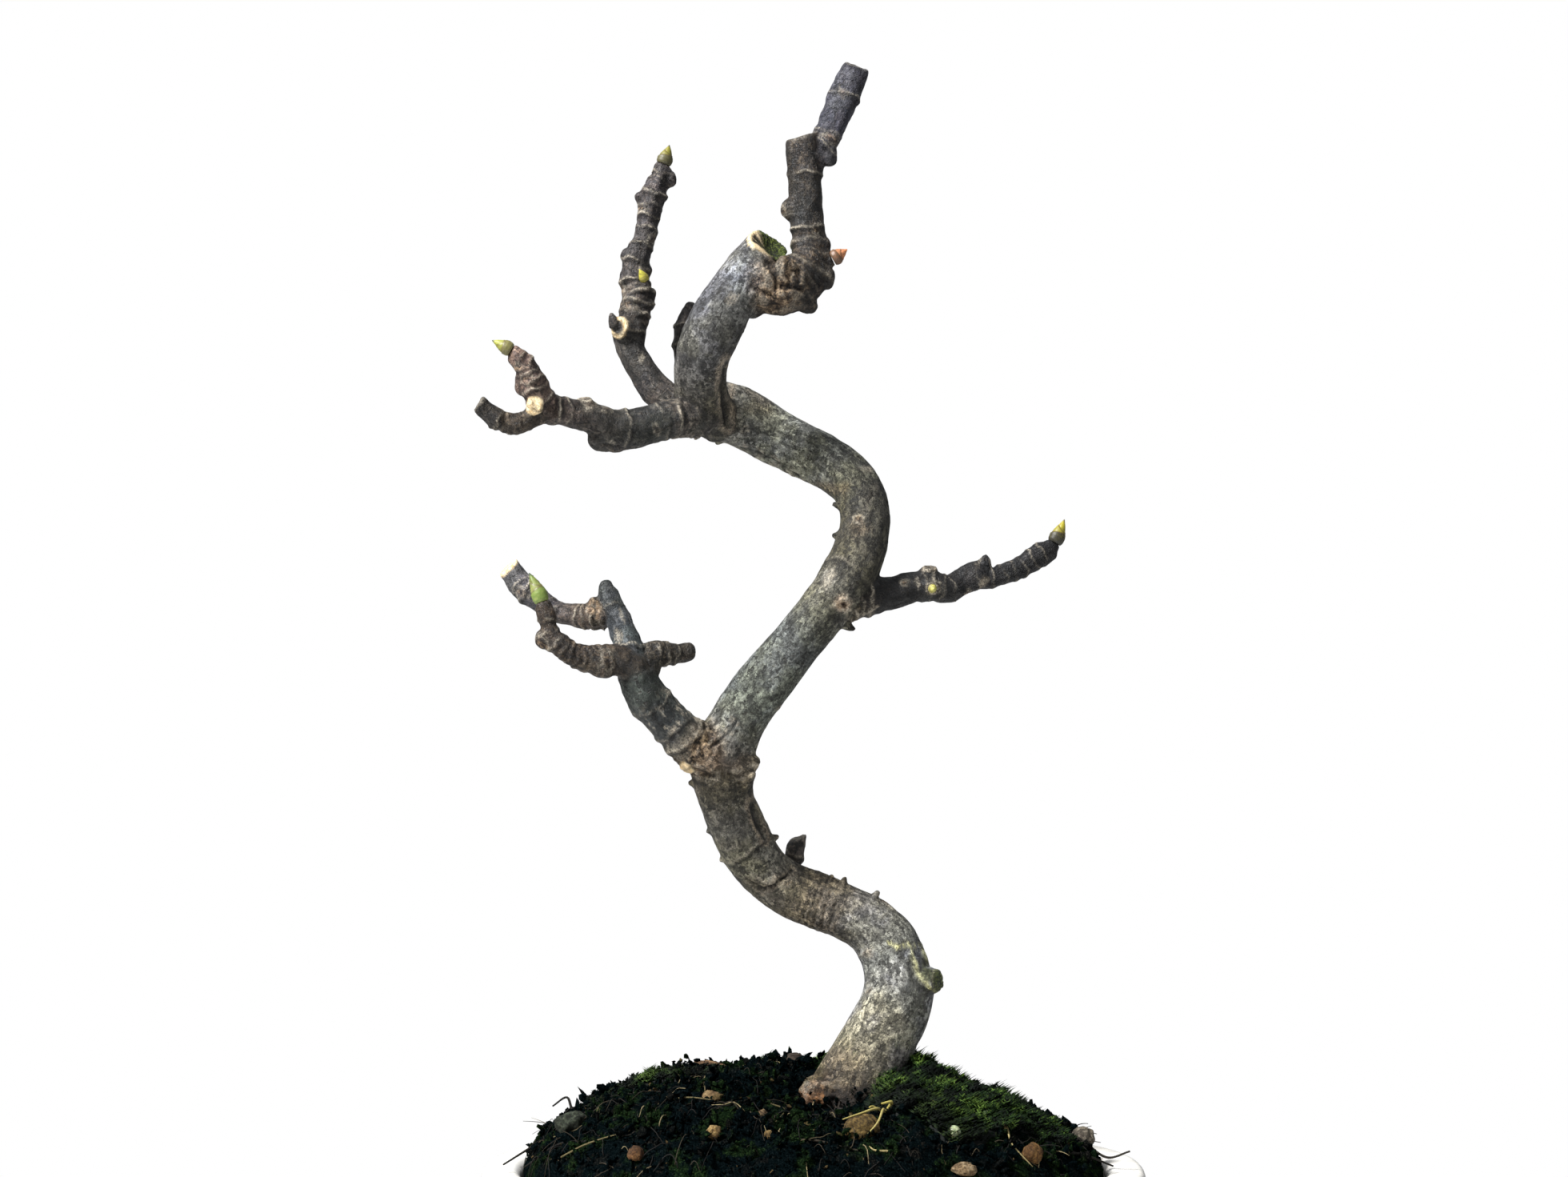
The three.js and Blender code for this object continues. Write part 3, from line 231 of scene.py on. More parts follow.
# Buds: foot, tip, radius, slot, colours of the lower part, upper part, outer scale and very tip
BUDS = {
    "bud_tall_tip": (
        (-42.8, 18.1, 283.6), (-40.7, 18.6, 289), 2.1, "bud_green",
        ((62, 60, 44), (144, 138, 42), (78, 74, 50), (58, 54, 26)),
    ),
    "bud_tall_side": (
        (-47.6, 8, 249.4), (-49, 6.2, 252.6), 1.3, "bud_green",
        ((170, 160, 58), (192, 186, 72), (150, 140, 60), (200, 194, 100)),
    ),
    "bud_left_tip": (
        (-82.8, -28.2, 227.2), (-87.8, -28.6, 230.2), 1.9, "bud_green",
        ((96, 88, 54), (160, 164, 60), (104, 98, 60), (58, 62, 34)),
    ),
    "bud_low_front_tip": (
        (-74.9, -20.1, 158.4), (-78, -19.6, 166.6), 2.1, "bud_bright_green",
        ((150, 144, 92), (92, 116, 42), (104, 126, 54), (44, 60, 26)),
    ),
    "bud_right_tip": (
        (68.7, 11.6, 175.1), (72, 12, 181.6), 2.1, "bud_green",
        ((30, 30, 27), (186, 174, 44), (40, 38, 33), (96, 84, 34)),
    ),
    "bud_right_side": (
        (33.2, -4.2, 162.2), (33.8, -6, 161.8), 1.2, "bud_green",
        ((176, 170, 90), (196, 190, 100), (150, 140, 80), (120, 110, 60)),
    ),
    "bud_apex_side": (
        (5.4, -6.4, 254.2), (9.6, -6.8, 256.6), 2.1, "bud_tan",
        ((112, 84, 64), (204, 132, 86), (92, 68, 50), (196, 120, 76)),
    ),
}
# Stones: place, size, turn, lift over the soil, slot, ground, light and dark colours
STONES = {
    "stone_tan_front": (
        (13, -41), (11.4, 8, 8.6), 0.3, 0.6, "stone_tan", ((96, 78, 42), (126, 104, 62), (54, 42, 23)),
    ),
    "stone_orange_right": (
        (59, -36), (6.4, 5.6, 6.2), 0.8, 0.9, "stone_orange", ((112, 80, 42), (140, 108, 64), (64, 42, 21)),
    ),
    "stone_grey_right": (
        (76, 2), (8, 6.4, 6), 1.3, 1.4, "stone_grey", ((102, 94, 81), (136, 128, 114), (53, 47, 41)),
    ),
    "stone_flat_right": (
        (40, -49), (7, 5.2, 3.6), 0.2, 0.6, "stone_tan", ((129, 108, 79), (160, 142, 114), (79, 62, 43)),
    ),
    "stone_rust_left": (
        (-48, -43.5), (5, 4.6, 4.4), 2.1, 0.6, "stone_orange", ((94, 64, 37), (122, 90, 58), (52, 33, 18)),
    ),
    "stone_yellow_left": (
        (-27, -43), (4.2, 3.8, 3.8), 1.1, 0.6, "stone_tan", ((126, 101, 60), (154, 132, 88), (74, 56, 33)),
    ),
    "stone_dark_left": (
        (-67, -15), (9.2, 7, 7), 0.5, 1.2, "stone_dark", ((44, 50, 39), (72, 76, 63), (21, 23, 18)),
    ),
    "stone_tan_left": (
        (-28, -25), (5, 4.4, 3.2), 2.6, 0.5, "stone_tan", ((111, 90, 60), (142, 121, 87), (66, 50, 33)),
    ),
    "stone_small_middle": (
        (-14, -33), (3.4, 3, 2.8), 1.9, 0.5, "stone_tan", ((99, 79, 54), (129, 108, 79), (57, 44, 30)),
    ),
    "stone_small_front": (
        (-12, -45), (3.2, 2.8, 2.6), 0.9, 0.5, "stone_tan", ((114, 91, 51), (144, 120, 77), (67, 52, 29)),
    ),
    "stone_grey_back": (
        (-22, 36), (9, 7, 5.6), 0.6, 0.8, "stone_grey", ((81, 77, 69), (112, 106, 97), (42, 40, 35)),
    ),
    "stone_tan_back": (
        (38, 34), (6.4, 5.4, 4.8), 2.2, 0.7, "stone_tan", ((112, 92, 66), (143, 124, 94), (66, 52, 36)),
    ),
}
# Old bark and wood: place, size, tilts, lift over the soil, material, ground colour, light colour
WOOD = {
    "bark_flake_left": (
        (-29, 12), (9.4, 4.6, 3), (0.16, 0.3), 1.3, "flake_left", (96, 72, 50), (150, 118, 84),
    ),
    "bark_lump": ((-5, 13), (6.8, 6, 5), (0.1, 0.2), 1, "rotted_lump", (44, 37, 31), (84, 72, 60)),
    "bark_flake_right": (
        (41, 4), (8.6, 3.4, 2.6), (0.5, 0.25), 1.7, "flake_right", (128, 102, 72), (180, 150, 112),
    ),
}
# Feed pellets: place, radius
BEADS = {"bead_large": ((37.6, -41), 1.9), "bead_small": ((47, -26), 1.1)}
# Moss cushions: middle, half sizes, what sets the outline, most shoots
MOSS = {
    "moss_right": ((39, -14), (27, 25), 1.2, 4800),
    "moss_left": ((-45, 8), (18, 13), 3.9, 2000),
    "moss_back": ((8, 36), (24, 13), 5.1, 2400),
}
# The lit patch of the left cushion, with painted shade outside it: middle, radius, how soft its edge is
MOSS_LIT_PATCH = ((-44, 2, 20), 7, 0.4)

# How far along each limb its bark stays as pale as the trunk's, and where it has turned dark
DARKENS = {
    "apex": (3, 14), "apexShoot": (-9, -8), "tall": (12, 21), "back": (-9, -8), "left": (12, 27),
    "leftShoot": (-9, -8), "leftSpur": (-9, -8), "leftKnob": (-9, -2), "right": (6, 7.5), "low": (20, 27),
    "lowLeader": (-9, -8), "lowSide": (-9, -8), "lowFront": (-9, -8), "lowStub": (-9, -8),
    "bendStub": (-9, 0),
}
# Ground colour of the bark by the distance along each limb
TONES = {
    "trunk": (
        (40, (76, 63, 50)), (50, (108, 100, 89)), (66, (119, 118, 116)), (84, (108, 109, 109)),
        (98, (101, 98, 91)), (112, (112, 101, 85)), (124, (106, 99, 85)), (136, (106, 103, 91)),
        (150, (93, 90, 79)), (160, (70, 66, 57)), (166, (104, 94, 78)), (174, (98, 95, 86)),
        (186, (90, 94, 89)), (208, (80, 83, 79)), (222, (95, 92, 80)), (234, (58, 56, 46)),
        (254, (54, 53, 45)), (268, (108, 108, 98)), (278, (126, 126, 116)), (290, (124, 125, 117)),
        (310, (102, 99, 89)),
    ),
    "top": (
        (0, (62, 60, 51)), (14, (66, 62, 52)), (26, (79, 77, 72)), (44, (89, 89, 91)), (60, (99, 98, 97)),
        (69, (96, 91, 84)),
    ),
    "apex": (
        (0, (34, 29, 24)), (16, (23, 20, 18)), (26, (20, 18, 18)), (34, (18, 20, 20)), (46, (23, 22, 22)),
    ),
    "apexShoot": ((0, (53, 50, 51)), (10, (55, 57, 68)), (34, (52, 53, 65))),
    "tall": (
        (0, (75, 68, 66)), (14, (52, 50, 50)), (34, (50, 49, 50)), (46, (61, 55, 52)), (60, (54, 52, 56)),
        (88, (61, 57, 59)),
    ),
    "back": ((0, (46, 44, 44)), (37, (52, 50, 50))),
    "left": (
        (0, (82, 79, 72)), (14, (53, 53, 52)), (30, (45, 48, 48)), (48, (57, 53, 52)), (62, (70, 59, 55)),
    ),
    "leftShoot": ((0, (86, 72, 68)), (12, (100, 82, 78)), (21, (118, 94, 84))),
    "leftSpur": ((0, (61, 54, 49)), (14, (72, 64, 57)), (16, (42, 40, 40))),
    "leftKnob": ((0, (48, 48, 48)), (14, (56, 54, 52))),
    "right": (
        (0, (28, 29, 28)), (7, (14, 15, 16)), (40, (14, 15, 18)), (48, (18, 20, 24)), (67, (17, 19, 23)),
    ),
    "low": (
        (0, (151, 139, 116)), (12, (133, 111, 90)), (20, (103, 93, 83)), (28, (55, 60, 59)),
        (45, (48, 55, 54)),
    ),
    "lowLeader": ((0, (50, 58, 58)), (12, (61, 69, 74)), (33, (52, 57, 60))),
    "lowSide": ((0, (50, 48, 46)), (12, (88, 72, 59)), (22, (70, 69, 74)), (39, (81, 82, 89))),
    "lowFront": ((0, (29, 30, 29)), (14, (37, 31, 27)), (28, (38, 31, 26)), (41, (45, 35, 28))),
    "lowStub": ((0, (41, 40, 36)), (18, (48, 43, 38))),
    "bendStub": ((0, (70, 67, 60)), (16, (58, 56, 52))),
    "root0": ((0, (78, 60, 43)), (30, (43, 33, 24))),
    "root1": ((0, (78, 63, 48)), (30, (43, 33, 24))),
    "root2": ((0, (81, 66, 50)), (30, (43, 33, 24))),
}
# How brown each limb is
BROWNS = {
    "trunk": 0.06, "top": 0.04, "apex": 0.14, "apexShoot": 0.08, "tall": 0.16, "back": 0.12, "left": 0.12,
    "leftShoot": 0.3, "leftSpur": 0.22, "leftKnob": 0.1, "right": 0.03, "low": 0.08, "lowLeader": 0.08,
    "lowSide": 0.2, "lowFront": 0.14, "lowStub": 0.12, "bendStub": 0.15, "root0": 0.6, "root1": 0.5,
    "root2": 0.4,
}
# Ring scars: distance along the limb, height, half width, slant
RINGS = {
    "trunk": [(163.5, 0.35, 0.9, 1.2), (232, 0.2, 0.7, 1), (141, 0.22, 0.7, 1.2)],
    "apex": [(26.5, 0.45, 0.9, 0.5), (31, 0.5, 0.6, 0.3), (46.5, 0.5, 0.55, 0.3), (18, 0.4, 1, 0.6)],
    "apexShoot": [(12.5, 0.35, 0.5, 0.4), (8.5, 0.5, 0.7, 0.4), (24.5, 0.4, 0.5, 0.8)],
    "tall": [
        (36.5, 0.35, 0.6, 0.5), (43.5, 0.4, 0.7, 0.7), (46.6, 0.5, 0.7, 0.5), (49.4, 0.35, 0.6, 0.5),
        (52.8, 0.5, 0.6, 0.4), (58.7, 0.4, 0.5, 0.3), (63.6, 0.35, 0.45, 0.3), (68.6, 0.35, 0.5, 0.3),
        (71.9, 0.4, 0.45, 0.3), (75.4, 0.45, 0.5, 0.3), (79.4, 0.5, 0.6, 0.3), (83.6, 0.4, 0.5, 0.2),
        (86.2, 0.35, 0.4, 0.2),
    ],
    "back": [(14, 0.35, 0.6, 0.3), (25, 0.4, 0.6, 0.3), (31, 0.35, 0.5, 0.3)],
    "left": [
        (13, 0.5, 0.8, 0.5), (20, 0.35, 0.7, 0.6), (24, 0.3, 0.5, 0.4), (35.5, 0.35, 0.6, 0.5),
        (54.6, 0.3, 0.5, 0.3), (58, 0.35, 0.6, 0.3),
    ],
    "leftShoot": [
        (5.4, 0.4, 0.6, 0.3), (9, 0.3, 0.5, 0.3), (11.6, 0.45, 0.5, 0.3), (14.2, 0.3, 0.45, 0.3),
        (16.4, 0.4, 0.45, 0.3), (18.8, 0.3, 0.4, 0.2),
    ],
    "leftSpur": [(15, 0.55, 0.4, 0.2)],
    "right": [
        (5.2, 0.5, 0.55, 0.2), (6.9, 0.45, 0.5, 0.2), (8.6, 0.4, 0.5, 0.25), (26.4, 0.35, 0.5, 0.4),
        (28.6, 0.3, 0.5, 0.3), (31.8, 0.45, 0.45, 0.25), (34.6, 0.35, 0.5, 0.3), (43.5, 0.35, 0.6, 0.9),
        (47.6, 0.35, 0.5, 0.3), (51.2, 0.3, 0.4, 0.25), (54, 0.3, 0.4, 0.25), (57.4, 0.35, 0.45, 0.25),
        (61.3, 0.35, 0.45, 0.25), (64.3, 0.3, 0.4, 0.25),
    ],
    "low": [(23, 0.5, 0.8, 0.8), (26.6, 0.4, 0.6, 0.8), (35.5, 0.25, 0.5, 0.5)],
    "lowLeader": [(9.5, 0.3, 0.5, 1), (14, 0.25, 0.5, 0.4), (26.5, 0.4, 0.5, 0.3)],
    "lowSide": [
        (7, 0.4, 0.5, 0.3), (9.6, 0.5, 0.5, 0.3), (12.2, 0.4, 0.45, 0.3), (14.4, 0.3, 0.4, 0.3),
        (20.5, 0.4, 0.6, 0.3), (23.6, 0.35, 0.5, 0.3), (30.4, 0.45, 0.6, 0.8), (33.2, 0.35, 0.45, 0.3),
    ],
    "lowFront": [(31.5, 0.4, 0.5, 0.3), (34.4, 0.4, 0.5, 0.3), (37.8, 0.4, 0.5, 0.3)],
    "lowStub": [(8, 0.45, 0.5, 0.3), (11, 0.4, 0.5, 0.3), (14.2, 0.4, 0.5, 0.3)],
    "bendStub": [(6, 0.4, 0.6, 0.3), (11, 0.4, 0.6, 0.3)],
}
# Spans of crowded rings: start, end, height, spacing
CROWDED = {
    "trunk": [(103, 119, 0.22, 1.9), (30, 44, 0.2, 2.6)],
    "apex": [(13, 25, 0.3, 1.9)],
    "tall": [(40, 53, 0.46, 2.1)],
    "leftSpur": [(5.5, 15, 0.48, 1.45)],
    "leftKnob": [(6, 14, 0.3, 1.8)],
    "left": [(14, 22, 0.22, 1.7)],
    "right": [(3.5, 9, 0.22, 1.5)],
    "low": [(13, 23, 0.55, 2)],
    "lowSide": [(5, 15, 0.42, 1.7)],
    "lowFront": [(14, 31, 0.66, 1.9)],
    "lowStub": [(5, 13, 0.46, 1.8)],
    "root0": [(4, 24, 0.4, 2.6)],
    "root1": [(6, 24, 0.3, 2.4)],
    "root2": [(6, 26, 0.3, 2.4)],
}
# Single marks: distance along, angle, half sizes along and round, height, kind
SCARS = {
    "trunk": [
        (222.5, 330, 1.6, 1.5, 0.45, "leaf"), (302, 245, 1.1, 1.1, 0.3, "knot"),
        (226, 272, 3.4, 2, 0, "patch"), (156, 62, 6, 0.6, 0.9, "groove"), (141, 40, 5, 0.5, 0.6, "groove"),
        (110, 300, 2.2, 0.5, 0.3, "groove"), (126, 350, 1.4, 1.6, 0.4, "leaf"), (96, 60, 2, 2.6, 0.5, "leaf"),
        (88, 300, 2, 2.4, 0.35, "leaf"), (190, 20, 1.2, 3, 0.3, "lip"), (208, 90, 1.8, 2, 0.35, "leaf"),
        (262, 330, 1.4, 2.6, 0.25, "patch"), (285, 10, 1.5, 2, 0.3, "leaf"), (72, 300, 1, 1.6, 0.3, "leaf"),
        (246, 280, 1.2, 1.6, 0.3, "leaf"), (60, 150, 3, 3, 0.5, "leaf"), (118, 150, 2, 2.6, 0.5, "leaf"),
        (180, 190, 2.4, 2.6, 0.4, "leaf"), (240, 160, 2, 3, 0.4, "leaf"), (279, 190, 2, 2.4, 0.4, "knot"),
        (150, 200, 1.3, 4, 0.4, "lip"),
    ],
    "top": [(28, 20, 1.2, 2.6, 0.2, "patch"), (46, 320, 1.6, 2, 0.25, "patch"), (36, 160, 2, 2, 0.4, "knot")],
    "apex": [
        (36.5, 245, 1.8, 1.6, 0.5, "leaf"), (29.5, 10, 1.2, 1, 0.3, "leaf"), (50, 180, 2, 1.8, 0.4, "leaf"),
    ],
    "apexShoot": [
        (11, 25, 1.6, 2.2, 0.5, "leaf"), (24.5, 350, 1.4, 1.2, 0.3, "leaf"),
        (20, 190, 1.6, 1.6, 0.35, "leaf"),
    ],
    "tall": [
        (51, 300, 1.6, 1.4, 0.4, "leaf"), (45, 340, 1.4, 2.2, 0.45, "leaf"), (66, 60, 1.5, 1.5, 0.35, "leaf"),
        (74, 320, 1.3, 1.5, 0.4, "leaf"), (55.6, 60, 1.4, 1.5, 0.3, "leaf"),
        (81, 200, 1.3, 1.5, 0.35, "leaf"), (60, 180, 1.5, 1.6, 0.35, "leaf"), (28, 20, 1, 1.3, 0.2, "patch"),
    ],
    "left": [
        (48.8, 60, 2.4, 2, 0.55, "leaf"), (44, 50, 1.2, 1.5, 0.3, "leaf"), (28, 340, 1, 1.6, 0.3, "leaf"),
        (40, 300, 1, 1, 0.2, "patch"), (31, 170, 1.6, 1.8, 0.4, "leaf"),
    ],
    "leftShoot": [
        (6, 270, 2.2, 2, 0.5, "leaf"), (12.6, 340, 1.6, 1.8, 0.45, "leaf"), (17, 320, 1.3, 1.4, 0.4, "leaf"),
    ],
    "right": [
        (29.5, 5, 1.8, 1.4, 0.35, "leaf"), (44.5, 20, 1.8, 2.4, 0.35, "lip"), (20, 330, 1, 1.2, 0.25, "leaf"),
        (24, 345, 0.8, 1.6, 0.25, "patch"), (38, 60, 1.4, 1.5, 0.3, "leaf"), (55, 200, 1.4, 1.4, 0.3, "leaf"),
    ],
    "low": [
        (28, 350, 1.1, 2.2, 0.35, "lip"), (22.5, 20, 1, 1, 0.3, "patch"), (37, 250, 1.6, 1.8, 0.3, "leaf"),
    ],
    "lowLeader": [
        (22, 20, 2.6, 0.6, 0.15, "patch"), (15.5, 330, 3.6, 1.6, 0.15, "patch"),
        (26, 120, 1.4, 1.3, 0.35, "leaf"),
    ],
    "lowSide": [
        (31, 340, 2, 1.5, 0.4, "leaf"), (28, 90, 1.5, 1.5, 0.3, "leaf"), (10, 20, 1.4, 1.6, 0.5, "leaf"),
        (8.5, 330, 1.2, 1.2, 0.3, "patch"),
    ],
    "lowFront": [
        (16.4, 20, 1.8, 2.4, 0.5, "leaf"), (18.5, 350, 0.8, 2, 0.2, "patch"),
        (33, 300, 1.4, 1.4, 0.4, "leaf"),
    ],
}
# Cut faces and broken ends: middle, the way they face, radius, kind
FACES = [
    ((-76.4, -28.9, 212), (-0.1, -1, 0), 2.6, "cream slit"),
    ((-54.9, 3.3, 235.7), (-0.63, -0.76, 0.12), 3.1, "ring"),
    ((-85.6, -2.3, 168.4), (-0.66, -0.2, 0.7), 3.7, "cream"),
    ((-63.4, -16.8, 214.5), (-0.1, -0.4, 1), 2.2, "tan"), ((32.5, -0.3, 168.1), (0, -0.3, 1), 2.2, "tan"),
    ((33.2, -4.2, 162.1), (0.1, -1, -0.1), 1.8, "tan"),
    ((-35.7, -10.4, 111.8), (-0.6, -0.5, -0.75), 2.4, "cream"),
    ((8.4, -14.2, 157.8), (-0.1, -1, 0.1), 1.9, "tan"),
    ((35.1, -3.4, 52.2), (0.88, -0.46, 0.06), 3.3, "green"),
    ((-4.2, 20, 90.6), (-0.35, -0.2, 0.9), 2.3, "grey"),
    ((-3, -0.5, 289.2), (-0.25, -0.1, 0.97), 4.4, "grey"), ((12.4, 6, 309.8), (0.35, -0.2, 0.9), 3.4, "grey"),
    ((-91.4, -32, 212.5), (-0.8, -0.2, 0.5), 2.2, "grey"),
]
# Cracks, wrinkles and lips drawn on the side towards the viewer: x and z along the line, half width, kind
LINES = [
    ([(-17.1, 102.1), (-15.6, 97), (-13.8, 92.1)], 0.75, "crack"),
    ([(-34, 112.4), (-29.3, 110.7), (-24, 109.7), (-18.2, 110.4), (-14.6, 113)], 0.55, "seam"),
    ([(-31.6, 109.6), (-25.4, 107.4), (-19.6, 107.8)], 0.3, "wrinkle"),
    ([(-30.2, 91.6), (-25, 89.9), (-19.6, 90.2)], 0.35, "wrinkle"),
    ([(-18.2, 79.1), (-13.9, 76.9), (-10.9, 79.1), (-6, 82)], 0.45, "crack"),
    ([(-16.8, 80.7), (-12.6, 79), (-9.6, 81)], 0.5, "lip"),
    ([(-0.4, 67.3), (2.6, 77)], 0.4, "wrinkle"),
    ([(1.9, 66.8), (5, 76)], 0.45, "wrinkle"),
    ([(4.2, 66.2), (7.4, 75)], 0.35, "wrinkle"),
    ([(-3, 68.6), (0.2, 77.8)], 0.3, "wrinkle"),
    ([(-24.2, 224.6), (-24.9, 216.8), (-24.4, 208)], 0.8, "crack"),
    ([(19, 63.2), (23, 62), (27, 61.8), (30.4, 62)], 0.6, "yellow"),
    ([(27.4, 61), (27.8, 58), (29, 54.6), (31.2, 51.4), (34.2, 49.4)], 0.8, "yellow"),
    ([(30.6, 61.6), (31.6, 58.6), (32.8, 56.4)], 0.6, "yellow"),
    ([(-20.2, 160), (-22.2, 150), (-27, 141)], 0.3, "wrinkle"),
    ([(-28.6, 117.6), (-24.2, 121.4), (-21.4, 126)], 0.5, "seam"),
    ([(18.2, 190.6), (15.4, 186.6), (14.8, 182.6)], 0.3, "wrinkle"),
    ([(-20.8, 202.6), (-12.6, 199.4), (-4, 194.4)], 0.4, "seam"),
    (
        [(6.7, 157.6), (7.3, 159.2), (8.9, 159.4), (10.1, 158.2), (9.6, 156.5), (8.1, 156.1), (6.9, 157.2)],
        0.62, "lip",
    ),
    ([(10.4, 156), (12.6, 155), (15, 155.6), (17.6, 157.6)], 0.5, "lip"),
    ([(9, 154.8), (11, 153), (13.4, 152.4)], 0.4, "lip"),
    ([(7.9, 157.4), (8.9, 158.2)], 0.5, "crack"),
]
# Soft spots of another ground colour on the same side: x and z, half sizes, colour, share
SPOTS = [
    ((-19.4, 248), (6, 7), (134, 138, 144), 0.5), ((-23.4, 231), (3.4, 7), (60, 59, 56), 0.55),
    ((-15, 219), (5, 9), (96, 82, 62), 0.4), ((3, 190.4), (8.4, 3), (112, 92, 62), 0.42),
    ((9, 178), (7, 12), (78, 72, 54), 0.4), ((4, 165.5), (2.6, 2.2), (156, 150, 136), 0.6),
    ((13, 179), (4, 4), (104, 84, 62), 0.4), ((22.6, 53), (5.4, 6), (132, 131, 134), 0.5),
    ((32.4, 55.2), (3, 4.4), (44, 50, 22), 0.85), ((18.6, 42), (7, 9), (166, 160, 144), 0.45),
    ((-31.6, 119), (4.6, 5), (158, 130, 94), 0.5), ((-22, 100), (6, 9), (96, 92, 84), 0.35),
    ((0, 62.4), (9, 3), (142, 122, 100), 0.35), ((14, 68), (8, 3), (128, 128, 128), 0.4),
    ((12.6, 155), (5, 4), (122, 116, 92), 0.6), ((8.2, 157.9), (2.8, 2.8), (178, 148, 124), 0.75),
    ((8.6, 157.6), (0.9, 1.2), (92, 56, 42), 0.7), ((14, 168), (5, 8), (84, 80, 66), 0.5),
    ((-60.6, 156), (2.2, 4.6), (150, 118, 80), 0.6), ((15.5, 40), (11, 13), (150, 143, 126), 0.5),
    ((-4, 208), (7, 4), (136, 136, 126), 0.4), ((-62, 141), (4, 2.6), (128, 116, 92), 0.4),
    ((9, 31), (7, 5), (140, 122, 98), 0.4),
]
# Gnarled places, the burl first: middle, radius, how creased, how brown
GNARLS = [
    ((-10.5, -13.5, 246.5), 8.6, 1, 1), ((-32.5, -8, 117.5), 8.2, 0.75, 0.8), ((0, -9, 18), 9, 0.8, 0.35),
    ((-36, 4, 210), 9, 0.6, 0),
]


def unit(vector):
    """The same direction with length 1."""
    vector = np.asarray(vector, float)
    return vector / np.linalg.norm(vector, axis=-1, keepdims=True)


def smooth(low, high, value):
    """Soft step from 0 at low to 1 at high."""
    share = np.clip((value - low) / (high - low), 0, 1)
    return share * share * (3 - 2 * share)


def bell(distance, width):
    """1 at no distance, and softly less over the width."""
    return np.exp(-(distance / width) ** 2)


def around(sides):
    """Angles of the points of a ring."""
    return 2 * np.pi * np.arange(sides) / sides


def lattice(ix, iy, iz, seed):
    """Repeatable value between -1 and 1 at each whole-numbered point."""
    key = (ix * 73856093) ^ (iy * 19349663) ^ (iz * 83492791) ^ (seed * 40503 + 977)
    key = ((key ^ (key >> 13)) * 1274126177) & 0x7FFFFFFF
    key = ((key ^ (key >> 11)) * 668265263) & 0x7FFFFFFF
    return ((key >> 7) & 0xFFFF) / 32767.5 - 1


def noise(points, size, seed=0):
    """Smooth noise between -1 and 1 with features of the given size."""
    place = np.asarray(points, float) / size
    whole = np.floor(place).astype(np.int64)
    part = place - whole
    part = part * part * (3 - 2 * part)
    total = 0.0
    for corner in range(8):
        bit = np.array([corner & 1, corner >> 1 & 1, corner >> 2 & 1])
        weight = np.where(bit, part, 1 - part).prod(-1)
        spot = whole + bit
        total = total + weight * lattice(spot[..., 0], spot[..., 1], spot[..., 2], seed)
    return total


def rough(points, size, octaves, seed=0):
    """Noise with finer and finer layers."""
    return sum(0.5 ** k * noise(points, size * 0.5 ** k, seed + k) for k in range(octaves))


def pebbles(flat, size, seed):
    """Height between 0 and 1 of round grains lying side by side, and a value for each grain."""
    place = flat / size
    whole = np.floor(place).astype(np.int64)
    nearest = np.full(len(flat), 9.0)
    shade = np.zeros(len(flat))
    for dx in (-1, 0, 1):
        for dy in (-1, 0, 1):
            ix, iy = whole[:, 0] + dx, whole[:, 1] + dy
            zero = np.zeros_like(ix)
            far = np.hypot(place[:, 0] - ix - 0.5 - 0.42 * lattice(ix, iy, zero, seed),
                           place[:, 1] - iy - 0.5 - 0.42 * lattice(ix, iy, zero + 1, seed))
            shade = np.where(far < nearest, lattice(ix, iy, zero + 2, seed), shade)
            nearest = np.minimum(nearest, far)
    return np.sqrt(np.maximum(0, 1 - (nearest / 0.66) ** 2)), shade


def ripple(x, y, z):
    """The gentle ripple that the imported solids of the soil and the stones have."""
    broad = np.sin(x * 1.7 + 1.3 * np.sin(z * 0.9 + y)) * np.cos(y * 1.3 + z * 0.8)
    fine = np.sin(x * 3.9 - z * 2.1 + 2) * np.cos(y * 4.3 + x * 1.1)
    return broad * 0.65 + fine * 0.35


def skin(rings, first_pole, last_pole):
    """Closed skin over rings with equally many points, shut by a point at each end."""
    count, sides = rings.shape[:2]
    points = np.vstack([[first_pole], rings.reshape(-1, 3), [last_pole]])
    k = np.arange(sides)
    ahead = (k + 1) % sides
    low = (1 + sides * np.arange(count - 1))[:, None]
    high = low + sides
    quads = np.stack([low + k, low + ahead, high + ahead, high + k], -1).reshape(-1, 4)
    top = 1 + (count - 1) * sides
    start = np.stack([0 * k, 1 + ahead, 1 + k], -1)
    end = np.stack([0 * k + len(points) - 1, top + k, top + ahead], -1)
    return points, np.vstack([start, end, quads[:, [0, 1, 2]], quads[:, [0, 2, 3]]])


def gathered(solids):
    """Several solids as one list of points and one of triangles."""
    offset, points, faces = 0, [], []
    for some_points, some_faces in solids:
        points.append(some_points)
        faces.append(some_faces + offset)
        offset += len(some_points)
    return np.vstack(points), np.vstack(faces)


def in_metres(points):
    """Places in millimetres over the rim as one row of metres over the ground."""
    return ((np.asarray(points, float) + (0, 0, RIM)) * 0.001).astype(np.float32).ravel()


def mesh_from(name, points, faces):
    """Mesh from points in millimetres over the rim."""
    mesh = bpy.data.meshes.new(name)
    mesh.vertices.add(len(points))
    mesh.vertices.foreach_set("co", in_metres(points))
    mesh.loops.add(faces.size)
    mesh.loops.foreach_set("vertex_index", faces.astype(np.int32).ravel())
    mesh.polygons.add(len(faces))
    mesh.polygons.foreach_set("loop_start", np.arange(len(faces), dtype=np.int32) * faces.shape[1])
    mesh.update(calc_edges=True)
    mesh.validate()
    return mesh


